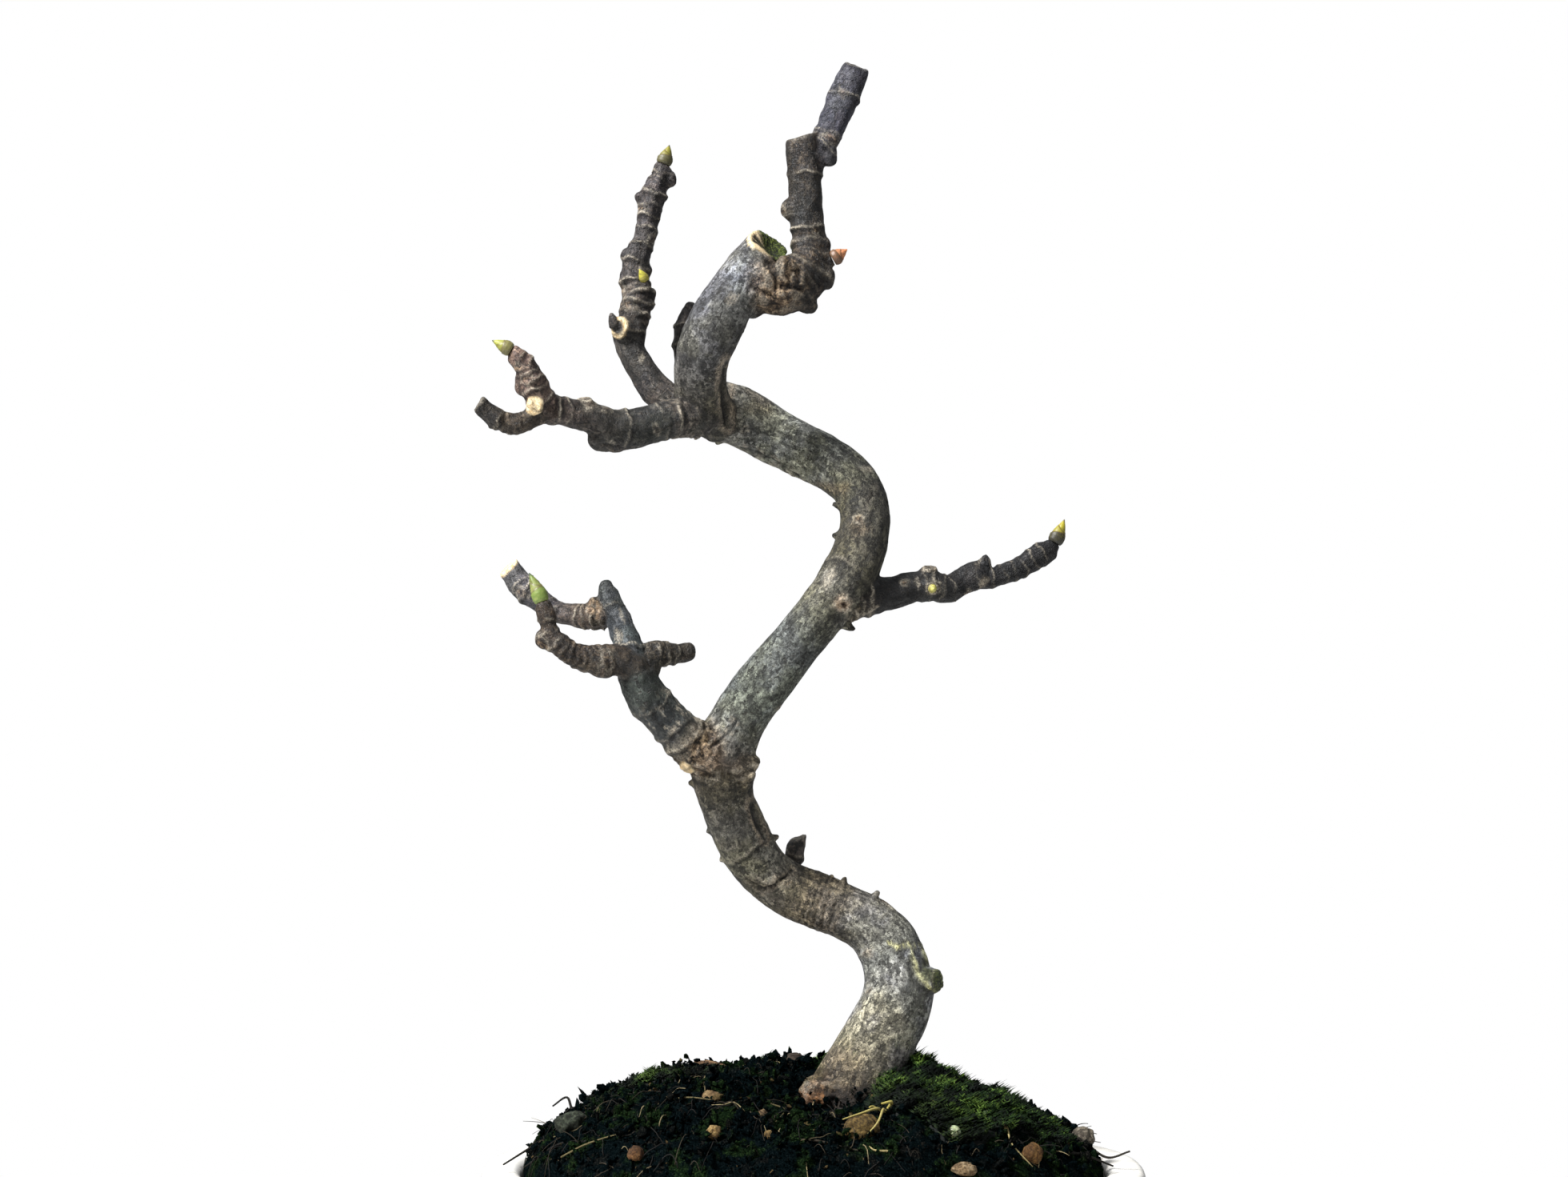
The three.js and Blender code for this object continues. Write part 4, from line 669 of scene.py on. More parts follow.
def vertex_rows(mesh, name):
    """Places or normals of all the points of a mesh."""
    flat = np.empty(len(mesh.vertices) * 3, np.float32)
    mesh.vertices.foreach_get(name, flat)
    return flat.reshape(-1, 3).astype(float)


def points_of(mesh):
    """Points of a mesh in millimetres over the rim."""
    return vertex_rows(mesh, "co") * 1000 - (0, 0, RIM)


def move_points(mesh, points):
    """Gives a mesh new places for its points."""
    mesh.vertices.foreach_set("co", in_metres(points))
    mesh.update()


def keep_values(mesh, name, *columns):
    """Stores three values between 0 and 1 at each point, for the material to read."""
    filled = np.clip(np.stack(np.broadcast_arrays(*columns, 1.0), -1), 0, 1)
    values = mesh.attributes.new(name, "FLOAT_COLOR", "POINT")
    values.data.foreach_set("color", filled.astype(np.float32).ravel())


def in_scene(name, data):
    """A new object of the scene."""
    made = bpy.data.objects.new(name, data)
    bpy.context.scene.collection.objects.link(made)
    return made


def show(name, mesh, material, nodes, slot, shaded_smooth=True):
    """Puts a finished mesh into the scene for the CAD nodes that it stands for."""
    mesh.polygons.foreach_set("use_smooth", np.full(len(mesh.polygons), shaded_smooth))
    mesh.materials.append(material)
    piece = in_scene(name, mesh)
    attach(piece, "root")
    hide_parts(*nodes)


def applied(holder):
    """The mesh of an object with its modifiers applied."""
    return bpy.data.meshes.new_from_object(holder.evaluated_get(bpy.context.evaluated_depsgraph_get()))


def remeshed(points, faces, voxel, most_faces):
    """One closed, evenly meshed skin round overlapping solids."""
    raw = mesh_from("raw", points, faces)
    holder = in_scene("raw", raw)
    fuse = holder.modifiers.new("fuse", "REMESH")
    fuse.mode = "VOXEL"
    fuse.voxel_size = voxel * 0.001
    fused = applied(holder)
    holder.modifiers.clear()
    holder.data = fused
    thin = holder.modifiers.new("thin", "DECIMATE")
    thin.ratio = most_faces / (2 * len(fused.polygons))
    thinned = applied(holder)
    bpy.data.objects.remove(holder)
    for spare in (raw, fused):
        bpy.data.meshes.remove(spare)
    return thinned


def eased(mesh, values, rounds):
    """Evens out values, or places, over the neighbouring points of a mesh."""
    pairs = np.empty(len(mesh.edges) * 2, np.int32)
    mesh.edges.foreach_get("vertices", pairs)
    first, second = pairs.reshape(-1, 2).T
    count = len(mesh.vertices)
    links = np.maximum(np.bincount(pairs, minlength=count), 1)
    columns = values.reshape(count, -1).T.copy()
    for _ in range(rounds):
        for k, column in enumerate(columns):
            total = np.bincount(first, column[second], count) + np.bincount(second, column[first], count)
            columns[k] = column + 0.5 * (total / links - column)
    return columns.T.reshape(values.shape)


def line_points(points, stops):
    """Points on the centripetal Catmull-Rom line through the stations."""
    last = len(points) - 1
    padded = np.vstack([2 * points[0] - points[1], points, 2 * points[-1] - points[-2]])
    place = np.clip(stops, 0, 1) * last
    span = np.minimum(place.astype(int), last - 1)
    w = (place - span)[:, None]
    p0, p1, p2, p3 = (padded[span + k] for k in range(4))
    d0, d1, d2 = (np.sqrt(np.linalg.norm(b - a, axis=1))[:, None] for a, b in ((p0, p1), (p1, p2), (p2, p3)))
    t1 = ((p1 - p0) / d0 - (p2 - p0) / (d0 + d1) + (p2 - p1) / d1) * d1
    t2 = ((p2 - p1) / d1 - (p3 - p1) / (d1 + d2) + (p3 - p2) / d2) * d1
    return p1 + w * (t1 + w * (3 * (p2 - p1) - 2 * t1 - t2 + w * (2 * (p1 - p2) + t1 + t2)))


def girth_at(radii, stops):
    """Radii on the Catmull-Rom curve through the stations' radii."""
    last = len(radii) - 1
    place = np.clip(stops, 0, 1) * last
    span = np.minimum(place.astype(int), last - 1)
    w = place - span
    r0, r1 = radii[np.maximum(span - 1, 0)], radii[span]
    r2, r3 = radii[span + 1], radii[np.minimum(span + 2, last)]
    v0, v1 = (r2 - r0) / 2, (r3 - r1) / 2
    return (2 * (r1 - r2) + v0 + v1) * w ** 3 + (3 * (r2 - r1) - 2 * v0 - v1) * w ** 2 + v0 * w + r1


def woody_section(angle, along, seed):
    """Uneven woody section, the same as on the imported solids."""
    return (1 + 0.05 * np.sin(2 * angle + seed + along * 0.06)
            + 0.032 * np.sin(3 * angle + 2.1 * seed - along * 0.11)
            + 0.018 * np.sin(5 * angle + 3.7 * seed + along * 0.17))


class Marks:
    """Marks on the bark: the height that they give it, and how strongly they bring each colour."""

    def __init__(self, shape):
        self.lift = np.zeros(shape)
        self.share = {colour: np.zeros(shape) for colour in MARK_COLOURS}

    def add(self, lift=0.0, **shares):
        """Adds to the height, and keeps the stronger share of each colour."""
        self.lift += lift
        for colour, share in shares.items():
            self.share[colour] = np.maximum(self.share[colour], share)


def ring_marks(name, along, angle, marks):
    """Ring scars, and spans of crowded rings. Each ring's ridge is paler, partly painted highlight, with
    painted shade just below it; crowded rings get the same in their crests and troughs.
    """
    for place, height, width, slant in RINGS.get(name, ()):
        wander = (slant * np.cos(angle - 2.1 * place) + 0.3 * np.sin(3 * angle + place)
                  + 0.16 * np.sin(7 * angle - place))
        apart = along - place - wander
        strength = 0.7 + 0.4 * np.sin(angle + 2.3 * place) + 0.3 * np.sin(3 * angle + place)
        strength = np.clip(strength, 0.1, 1.4)
        marks.add(1.7 * height * strength * bell(apart, 1.1 * width),
                  pale=0.75 * strength * bell(apart - 0.2 * width, 0.5 * width),
                  deep=0.85 * bell(apart + 1.4 * width, 0.62 * width))
    for start, end, height, spacing in CROWDED.get(name, ()):
        inside = smooth(start - 1.5, start + 1.5, along) * (1 - smooth(end - 1.5, end + 1.5, along))
        phase = along / spacing + 0.3 * np.sin(2 * angle + start) + 0.22 * np.sin(3 * angle + 0.6 * along)
        wave = np.sin(2 * np.pi * phase) * (0.7 + 0.3 * np.sin(angle * 2 + along * 0.9))
        marks.add(height * inside * wave, warm=0.25 * inside,
                  pale=0.3 * inside * np.clip(wave - 0.35, 0, 1),
                  deep=0.8 * inside * np.clip(-wave - 0.1, 0, 1))


def scar_marks(name, along, angle, girth, marks):
    """Leaf scars, knots, patches, grooves and lips, with painted shade in the middle of each knot and inside
    each groove.
    """
    for place, turn, half_along, half_round, height, kind in SCARS.get(name, ()):
        gap = (angle - math.radians(turn) + np.pi) % (2 * np.pi) - np.pi
        up, aside = (along - place) / half_along, gap * girth / half_round
        lobes = np.arctan2(up, aside)
        share = np.hypot(up, aside) * (1 + 0.2 * np.sin(2 * lobes + place) + 0.13 * np.sin(5 * lobes + turn))
        rim = bell(share - 1, 0.3) * (0.65 + 0.35 * np.sin(3 * lobes + place))
        middle = 1 - smooth(0.55, 1, share)
        if kind == "leaf":
            marks.add(height * (0.75 * middle + 0.6 * rim), pale=0.7 * rim, warm=0.8 * middle)
        elif kind == "knot":
            marks.add(height * (rim - 1.2 * middle), pale=rim, deep=0.75 * (1 - smooth(0.25, 0.7, share)))
        elif kind == "patch":
            marks.add(pale=0.6 * (1 - smooth(0.5, 1.2, share)))
        elif kind == "groove":
            inside = 1 - smooth(0.2, 1.1, share)
            marks.add(-height * inside, deep=inside, warm=0.6 * (1 - smooth(1, 2.4, share)))
        elif kind == "lip":
            inside = 1 - smooth(0.1, 1.1, share)
            marks.add(height * inside, pale=0.7 * inside, warm=0.5 * inside)


def relief(name, along, angle, girth):
    """All the marks of one limb's bark."""
    marks = Marks(np.broadcast(along, angle, girth).shape)
    ring_marks(name, along, angle, marks)
    scar_marks(name, along, angle, girth, marks)
    return marks


def frames_along(stations, step):
    """Frames of a limb: places on its centre line, the ways ahead and across, distance and radius."""
    stations = np.asarray(stations, float)
    lengths = np.linalg.norm(np.diff(stations[:, :3], axis=0), axis=1)
    stops = []
    for span, length in enumerate(lengths):
        parts = max(1, round(length / step))
        stops += [(span + part / parts) / len(lengths) for part in range(parts)]
    stops = np.array(stops + [1.0])
    centre = line_points(stations[:, :3], stops)
    tangent = unit(line_points(stations[:, :3], stops + 1e-4) - line_points(stations[:, :3], stops - 1e-4))
    across = np.empty_like(centre)
    way = np.array([0.0, -1.0, 0.0])
    for k, ahead in enumerate(tangent):
        way = unit(way - way.dot(ahead) * ahead)
        across[k] = way
    along = np.concatenate([[0], np.cumsum(np.linalg.norm(np.diff(centre, axis=0), axis=1))])
    return {"centre": centre, "tangent": tangent, "across": across, "beside": np.cross(tangent, across),
            "along": along, "girth": girth_at(stations[:, 3], stops)}


def limb(name, stations, seed, sides=44, step=0.7, cut=None):
    """A limb lofted along its centre line with the marks of its bark, sawn flat or ending in a dome."""
    f = frames_along(stations, step)
    angle = around(sides)[None, :]
    along, girth = f["along"][:, None], f["girth"][:, None]
    reach = girth * woody_section(angle, along, seed) + relief(name, along, angle, girth).lift
    rings = (f["centre"][:, None] + f["across"][:, None] * (np.cos(angle) * reach)[..., None]
             + f["beside"][:, None] * (np.sin(angle) * reach)[..., None])
    end, ahead, radius = f["centre"][-1], f["tangent"][-1], f["girth"][-1]
    if cut:
        face = unit(cut)
        offset = (rings - end) @ face / ahead.dot(face)
        rings = rings - np.maximum(offset, 0)[..., None] * ahead
        rings[-1] -= np.minimum(offset[-1], 0)[:, None] * ahead
        return f, rings, skin(rings, f["centre"][0], end)
    turns = np.radians([18, 36, 54, 72])[:, None, None]
    dome = end + 0.78 * radius * np.sin(turns) * ahead + np.cos(turns) * (rings[-1] - end)[None]
    return f, rings, skin(np.concatenate([rings, dome]), f["centre"][0], end + 0.78 * radius * ahead)


def knob(middle, half_sizes, seed):
    """A callus or knob: a ball with an uneven skin."""
    sides, rows = 24, 14
    turn = np.pi * (np.arange(rows) + 1) / (rows + 1)
    angle = around(sides)
    ball = np.stack([np.outer(np.sin(turn), np.cos(angle)), np.outer(np.sin(turn), np.sin(angle)),
                     np.outer(-np.cos(turn), np.ones(sides))], -1)
    swell = 1 + 0.1 * rough(ball + 3.1 * seed, 0.8, 2, seed)
    poles = np.array([[0, 0, -1.0], [0, 0, 1.0]])
    return skin(ball * swell[..., None] * half_sizes + middle, *(poles * half_sizes + middle))


def tapered(foot, way, reaches, radii, sides, seed):
    """A short straight piece of wood, cut square across."""
    stations = [(*(np.asarray(foot) + reach * unit(way)), radius) for reach, radius in zip(reaches, radii)]
    return limb("", stations, seed, sides, cut=tuple(unit(way)))[2]


def tree_tubes():
    """The trunk, its top, the limbs and the roots, by name."""
    tubes = {"trunk": limb("trunk", TRUNK, 2, 80, 0.8),
             "top": limb("top", TRUNK_TOP, 5, 72, 0.8, CUTS["trunk_top"])}
    for k, (name, stations) in enumerate(LIMBS.items()):
        tubes[name] = limb(name, stations, 3 + k, cut=CUTS.get(name))
    for k, stations in enumerate(ROOTS):
        tubes[f"root{k}"] = limb(f"root{k}", stations, 11 + k)
    return tubes


def tree_solids(tubes):
    """The tubes with the stubs, knobs, spines and the wood under each bud."""
    solids = [solid for _, _, solid in tubes.values()]
    for k, (at, aim, length, radius, taper) in enumerate(STUBS):
        radii = (radius, radius * (0.4 + 0.6 * taper), radius * taper)
        solids.append(tapered(at, aim, (0, 0.6 * length, length), radii, 36, 20 + k))
    for k, (middle, half_sizes) in enumerate(KNOBS):
        solids.append(knob(middle, half_sizes, k))
    for k, (at, aim) in enumerate(SPINES):
        solids.append(tapered(at, aim, (-2, 0.6, 2.4), (1.6, 1.2, 0.6), 14, 60 + k))
    for k, (foot, tip, radius, _, _) in enumerate(BUDS.values()):
        radii = (1.05 * radius, 1.02 * radius, 0.9 * radius)
        solids.append(tapered(foot, np.subtract(tip, foot), (-1.8, -0.5, -0.05), radii, 24, 80 + k))
    return solids


def bark_places(tubes, points):
    """For each point: which limb it lies on, how far along, at what angle, and how thick the limb is."""
    rings = [tube[1] for tube in tubes.values()]
    owners = np.concatenate([np.full(ring[..., 0].size, k) for k, ring in enumerate(rings)])
    rows = np.concatenate([np.repeat(np.arange(len(ring)), ring.shape[1]) for ring in rings])
    spots = np.vstack([ring.reshape(-1, 3) for ring in rings])
    tree = KDTree(len(spots))
    for k, spot in enumerate(spots.tolist()):
        tree.insert(spot, k)
    tree.balance()
    nearest = np.array([tree.find(point)[1] for point in points.tolist()])
    owner, row = owners[nearest], rows[nearest]
    along, angle, girth = np.zeros((3, len(points)))
    grain = np.zeros((len(points), 3))
    for k, (f, _, _) in enumerate(tubes.values()):
        mine = owner == k
        r = row[mine]
        offset = points[mine] - f["centre"][r]
        ways = (f["tangent"], f["across"], f["beside"])
        ahead, front, side = (np.einsum("ij,ij->i", offset, way[r]) for way in ways)
        along[mine] = f["along"][r] + ahead
        angle[mine] = np.arctan2(side, front)
        girth[mine] = f["girth"][r]
        grain[mine] = np.stack([front, side, along[mine] + 37.0 * k], -1)
    return owner, along, angle, girth, grain


def face_marks(points, marks):
    """The wood, ring and darkness of each cut face."""
    for middle, way, radius, kind in FACES:
        offset = points - middle
        depth = offset @ unit(way)
        flat = offset - depth[:, None] * unit(way)
        share = np.linalg.norm(flat, axis=1) / radius
        on = (1 - smooth(0.5, 1.1, np.abs(depth))) * (1 - smooth(0.92, 1.12, share))
        ring = on * smooth(0.55, 0.72, share)
        if kind == "cream":
            marks.add(cream=on, deep=0.5 * on * (1 - smooth(0.1, 0.35, share)))
        elif kind == "cream slit":
            slit = np.hypot((flat[:, 0] + 0.5 * flat[:, 2]) / 0.6, flat[:, 2] / 1.9)
            marks.add(cream=on, deep=0.9 * on * (1 - smooth(0.5, 1.1, slit)))
        elif kind == "ring":
            marks.add(cream=0.8 * ring, deep=0.85 * on * (1 - smooth(0.4, 0.6, share)))
        elif kind == "tan":
            marks.add(warm=on, pale=0.8 * ring)
        elif kind == "green":
            marks.add(green=0.8 * on, pale=ring, deep=0.6 * on * (1 - smooth(0.2, 0.6, share)))
        elif kind == "grey":
            marks.add(pale=0.35 * on)


def near_spot(points, middle, radius, soft=0.35):
    """1 inside the radius round the middle, falling softly to 0 outside it."""
    far = np.linalg.norm(points - middle, axis=1) / radius
    return 1 - smooth(1 - soft, 1 + soft, far)


def hollowed(points, marks):
    """Sinks the mossy hollow into the cut top of the trunk, with cream wood round its near side, and painted
    shade inside the hollow and just within its near rim.
    """
    way = unit(CUTS["trunk_top"])
    offset = points - HOLLOW_MIDDLE
    depth = offset @ way
    flat = offset - depth[:, None] * way
    side = unit(np.cross(way, (0, 1, 0)))
    rise = np.cross(side, way)
    share = np.hypot(flat @ side, flat @ rise) / HOLLOW_RADIUS
    share = share * (1 + 0.06 * np.sin(3 * np.arctan2(flat @ rise, flat @ side) + 1))
    inside = (1 - smooth(0.8, 1.04, share)) * (np.abs(depth) < 2.2)
    nearness = flat @ unit((-0.95, -0.25, -0.1)) / np.maximum(np.linalg.norm(flat, axis=1), 0.01)
    near_edge = smooth(0.1, 0.5, nearness)
    on_face = (np.abs(depth) < 1.3) * (1 - smooth(1.4, 1.6, share))
    marks.add(cream=on_face * near_edge * smooth(0.98, 1.06, share),
              green=np.maximum(smooth(0.25, 0.6, inside), on_face * (1 - near_edge)),
              deep=0.9 * near_edge * on_face * bell(share - 0.93, 0.07))
    points = points - HOLLOW_DEPTH * inside[:, None] * way
    marks.add(deep=0.75 * inside * smooth(0.0, 0.5, rough(points, 2.2, 2, 55)))
    return points


def line_marks(points, facing, marks):
    """Cracks, seams, wrinkles, lips and yellow streaks on the side towards the viewer. The dark inside
    cracks, seams and wrinkles is painted shade, and the paler ridge beside a wrinkle is partly painted
    highlight.
    """
    flat = points[:, [0, 2]] + 0.7 * np.stack([noise(points, 2.2, 91), noise(points, 2.2, 92)], -1)
    for line, half_width, kind in LINES:
        far = np.full(len(points), 99.0)
        share_along = np.zeros(len(points))
        for k, (start, end) in enumerate(zip(line, line[1:])):
            way = np.subtract(end, start)
            share = np.clip((flat - start) @ way / way.dot(way), 0, 1)
            gap = np.linalg.norm(flat - start - share[:, None] * way, axis=1)
            share_along = np.where(gap < far, (k + share) / (len(line) - 1), share_along)
            far = np.minimum(far, gap)
        thin = 0.35 + 0.65 * np.sin(np.pi * np.clip(share_along, 0.02, 0.98)) ** 0.6
        on = facing * bell(far, half_width * thin)
        beside = facing * bell(far - 1.9 * half_width, 0.9 * half_width)
        if kind == "crack":
            marks.add(-1.1 * on, deep=on, warm=0.7 * beside, pale=0.4 * beside)
        elif kind == "seam":
            stitches = np.sin(23 * share_along) > 0
            marks.add(0.3 * beside - 0.4 * on, deep=0.75 * on, pale=0.7 * beside * stitches)
        elif kind == "wrinkle":
            marks.add(0.2 * beside - 0.4 * on, deep=0.4 * on, pale=0.3 * beside)
        elif kind == "lip":
            marks.add(0.5 * on, pale=on, warm=0.5 * on)
        elif kind == "yellow":
            marks.add(0.4 * on, yellow=on, deep=0.45 * beside)


def blended(tint, share, colour):
    """The tint with a share of another colour laid over it."""
    return tint + share[:, None] * (np.asarray(colour) - tint)


def bark_ground(mesh, names, owner, along):
    """Paleness, brownness and ground colour of the bark at each point."""
    tone, brown = np.zeros((2, len(owner)))
    tint = np.zeros((len(owner), 3))
    for k, name in enumerate(names):
        mine = owner == k
        places, shades = zip(*TONES[name])
        tint[mine] = np.stack([np.interp(along[mine], places, shade) for shade in zip(*shades)], -1)
        tone[mine] = 1 - smooth(*DARKENS[name], along[mine]) if name in DARKENS else 1
        brown[mine] = BROWNS[name]
    tone, brown = eased(mesh, np.stack([tone, brown], -1), 5).T
    return tone, brown, eased(mesh, tint, 6)


def spotted(tint, points, facing):
    """The ground colour with its soft spots."""
    wander = 0.3 * noise(points, 3, 95)
    for (x, z), (half_wide, half_high), shade, share in SPOTS:
        far = np.hypot((points[:, 0] - x) / half_wide, (points[:, 2] - z) / half_high)
        tint = blended(tint, share * facing * (1 - smooth(0.4, 1.1, far + wander)), shade)
    return tint


def gnarled(points, marks):
    """Creased, browner bark round the burl and the collars: how gnarled each point is, and its creases. The
    creases are darkened as painted shade, and the ridges between them are paler, partly painted highlight.
    """
    near = [near_spot(points, middle, radius) for middle, radius, _, _ in GNARLS]
    gnarl = np.maximum.reduce([share * creased for share, (_, _, creased, _) in zip(near, GNARLS)])
    brown = np.maximum.reduce([share * warmth for share, (_, _, _, warmth) in zip(near, GNARLS)])
    creases = np.abs(rough(points * (1, 1, 0.75), 2.9, 2, 5))
    marks.add(deep=0.8 * gnarl * (1 - smooth(0.02, 0.16, creases)), warm=0.9 * brown,
              pale=0.45 * gnarl * smooth(0.35, 0.7, creases))
    return gnarl, creases


def foot_shade_and_tan_root(tint, points, marks):
    """The ground colour with painted shade on the foot of the trunk down to the soil, and the tan of a ragged
    root on its left; the shade also hides the marks there.
    """
    foot = 1 - smooth(20.5, 25, points[:, 2] + 1.2 * noise(points, 2.5, 98))
    ragged = 1 - smooth(1, 5, points[:, 0])
    marks.share["pale"] *= 1 - 0.8 * foot * (1 - ragged)
    marks.share["warm"] *= 1 - 0.8 * foot
    marks.add(deep=0.5 * foot * (1 - ragged))
    return blended(tint, 0.9 * foot, np.where(ragged[:, None] > 0.5, (144, 94, 50), (46, 36, 26)))


def bark_bumps(points, grain, girth, tone, marks):
    """Height of the fine relief of the bark."""
    bumps = 0.14 * rough(points, 5.5, 3, 21) * smooth(1, 7, girth) + 0.1 * rough(points, 1.7, 2, 31)
    grainy = 0.28 * rough(points, 3.1, 2, 36) + 0.12 * np.abs(rough(points, 1.9, 1, 38))
    stretched = 0.08 * rough(grain * (1, 1, 0.35), 1.6, 2, 41)
    mossy = 0.35 * marks.share["green"] * rough(points, 1.3, 2, 51)
    bumps = bumps + (1 - tone) * grainy + stretched + marks.lift + mossy
    return bumps * (1 - 0.8 * marks.share["cream"])


def tree_piece(material):
    """The whole tree under one skin, with its relief and the values that colour its bark."""
    tubes = tree_tubes()
    mesh = remeshed(*gathered(tree_solids(tubes)), TREE_VOXEL, TREE_TRIANGLES)
    points = eased(mesh, points_of(mesh), 2)
    owner, along, angle, girth, grain = bark_places(tubes, points)
    tone, brown, tint = bark_ground(mesh, tubes, owner, along)
    marks = Marks(len(points))
    for k, name in enumerate(tubes):
        mine = owner == k
        found = relief(name, along[mine], angle[mine], girth[mine])
        for colour, share in found.share.items():
            marks.share[colour][mine] = share
    marks.add(warm=brown)
    towards = -vertex_rows(mesh, "normal")[:, 1]
    gnarl, creases = gnarled(points, marks)
    tint = foot_shade_and_tan_root(spotted(tint, points, smooth(0.0, 0.4, towards)), points, marks)
    line_marks(points, smooth(-0.05, 0.35, towards), marks)
    dotted = near_spot(points, (-40.5, -12, 126.5), 8) * smooth(0.3, 0.42, noise(points, 1.3, 97))
    marks.add(pale=0.9 * dotted)
    tint = blended(tint, marks.share["yellow"], (206, 201, 150))
    face_marks(points, marks)
    points = hollowed(points, marks)

    marks.add(gnarl * (1.1 * smooth(0, 0.5, creases) - 0.55))
    bumps = bark_bumps(points, grain, girth, tone, marks)
    move_points(mesh, points)
    points = points + vertex_rows(mesh, "normal") * bumps[:, None]
    move_points(mesh, points)

    worn = smooth(-0.1, 0.5, rough(points, 14, 3, 61))
    low_algae = (1 - smooth(4, 40, points[:, 2] - 20)) * smooth(0, 0.6, rough(points, 6, 2, 71))
    marks.add(green=0.175 * low_algae)
    pale, warm, deep, cream, green, _ = marks.share.values()
    keep_values(mesh, "bark", tone, warm * (0.75 + 0.25 * worn), pale)
    keep_values(mesh, "marks", cream, green, deep)
    keep_values(mesh, "tint", *linear(tint).T)
    values = mesh.attributes.new("grain", "FLOAT_VECTOR", "POINT")
    values.data.foreach_set("vector", (grain * 0.001).astype(np.float32).ravel())
    show("fig_tree", mesh, material, ["tree"], "fig_bark")


def oval_power(x, y):
    """Value that is 1 all along the outline of the unit oval."""
    return np.abs(x) ** POT_SQUARENESS + np.abs(y) ** POT_SQUARENESS


def oval(angle, half_width, half_depth):
    """Points on an oval at the given angles."""
    reach = oval_power(np.cos(angle), np.sin(angle)) ** (-1 / POT_SQUARENESS)
    return np.stack([half_width * reach * np.cos(angle), half_depth * reach * np.sin(angle)], -1)


def oval_ring(inset, height, sides):
    """Ring inside the pot's outline, at a height over the ground."""
    flat = oval(around(sides), POT_HALF_WIDTH - inset, POT_HALF_DEPTH - inset)
    return np.column_stack([flat, np.full(sides, height - RIM)])


def soil_share(x, y):
    """Distance from the middle of the soil, 1 at its outline."""
    return oval_power(x / SOIL_REACH[0], y / SOIL_REACH[1]) ** (1 / POT_SQUARENESS)


def soil_height(x, y):
    """Height of the mound over the rim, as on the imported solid."""
    share = soil_share(x, y)
    rightward = np.clip((x - 22) / 46, 0, 1)
    mound = 29 * (1 - 0.2 * rightward) * np.maximum(0, 1 - share ** 2.1) ** 0.56
    lumps = 1.5 * ripple(x / 7, y / 7, 0.4) + 0.7 * ripple(x / 3.1, y / 3.1, 1.9)
    hump = 3 * np.exp(-((x - 32) ** 2 + (y + 1) ** 2) / 60)
    dip = 12 * np.exp(-((x - 4) / 17) ** 2 - ((y + 19) / 15) ** 2)
    return mound - 2 + lumps * np.clip((1 - share) * 9, 0, 1) + hump - dip


def on_soil(flat, lift=0.0):
    """Places on the soil, lifted a little."""
    return np.column_stack([flat, soil_height(flat[:, 0], flat[:, 1]) + lift])


def soil_piece(material):
    """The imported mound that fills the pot, with a skin of grains."""
    sides, ring_count = 440, 120
    walls = [oval_ring(inset + SEAT_GAP, height, sides) for height, inset in CAVITY_WALL]
    walls[0][:, 2] += SEAT_GAP
    shares = (1 - np.arange(ring_count) / ring_count) ** 0.8
    edge = oval_ring(CAVITY_WALL[-1][1] + SEAT_GAP, RIM, sides)[:, :2]
    flat = (shares[:, None, None] * edge).reshape(-1, 2)
    coarse, shade = pebbles(flat, 2.4, 3)
    middling, shade_two = pebbles(flat + 40, 1.1, 4)
    wide = rough(np.column_stack([flat, 0 * flat[:, 0]]), 9, 3, 6)
    keep = np.clip((1 - soil_share(*flat.T)) * 14, 0.25, 1)
    lift = keep * (0.8 * coarse * (0.6 + 0.4 * shade) + 0.45 * middling + 1.1 * wide - 0.4)
    surface = on_soil(flat, lift).reshape(ring_count, sides, 3)
    summit = np.array([0, 0, soil_height(0.0, 0.0)])
    points, faces = skin(np.concatenate([walls, surface]), (0, 0, CAVITY_FLOOR + SEAT_GAP - RIM), summit)
    mesh = mesh_from("soil_mound", points, faces)
    top = len(points) - 1 - len(flat)
    tint, depth = np.zeros((2, len(points)))
    tint[top:-1] = 0.5 + 0.5 * np.where(coarse > 0.3, shade, shade_two)
    # Each grain's height, which the material uses to paint shade into the low places between grains
    depth[top:-1] = 0.5 * coarse + 0.5 * middling
    keep_values(mesh, "grains", tint, depth, 0.0)
    show("soil_surface", mesh, material, ["soil"], "soil_mix")


def round_body(level):
    """Points and faces of an evenly divided ball of radius 1."""
    ball = bmesh.new()
    bmesh.ops.create_icosphere(ball, subdivisions=level, radius=1)
    points = np.array([v.co[:] for v in ball.verts])
    faces = np.array([[v.index for v in f.verts] for f in ball.faces])
    ball.free()
    return points, faces


def turned(angles):
    """Turning matrices for rows of three angles, about each axis in turn."""
    whole = np.eye(3)
    for axis, angle in enumerate(np.transpose(angles)):
        first, second = (axis + 1) % 3, (axis + 2) % 3
        about = np.zeros((len(angles), 3, 3))
        about[:, axis, axis] = 1
        about[:, first, first] = about[:, second, second] = np.cos(angle)
        about[:, second, first] = np.sin(angle)
        about[:, first, second] = -np.sin(angle)
        whole = whole @ about
    return whole


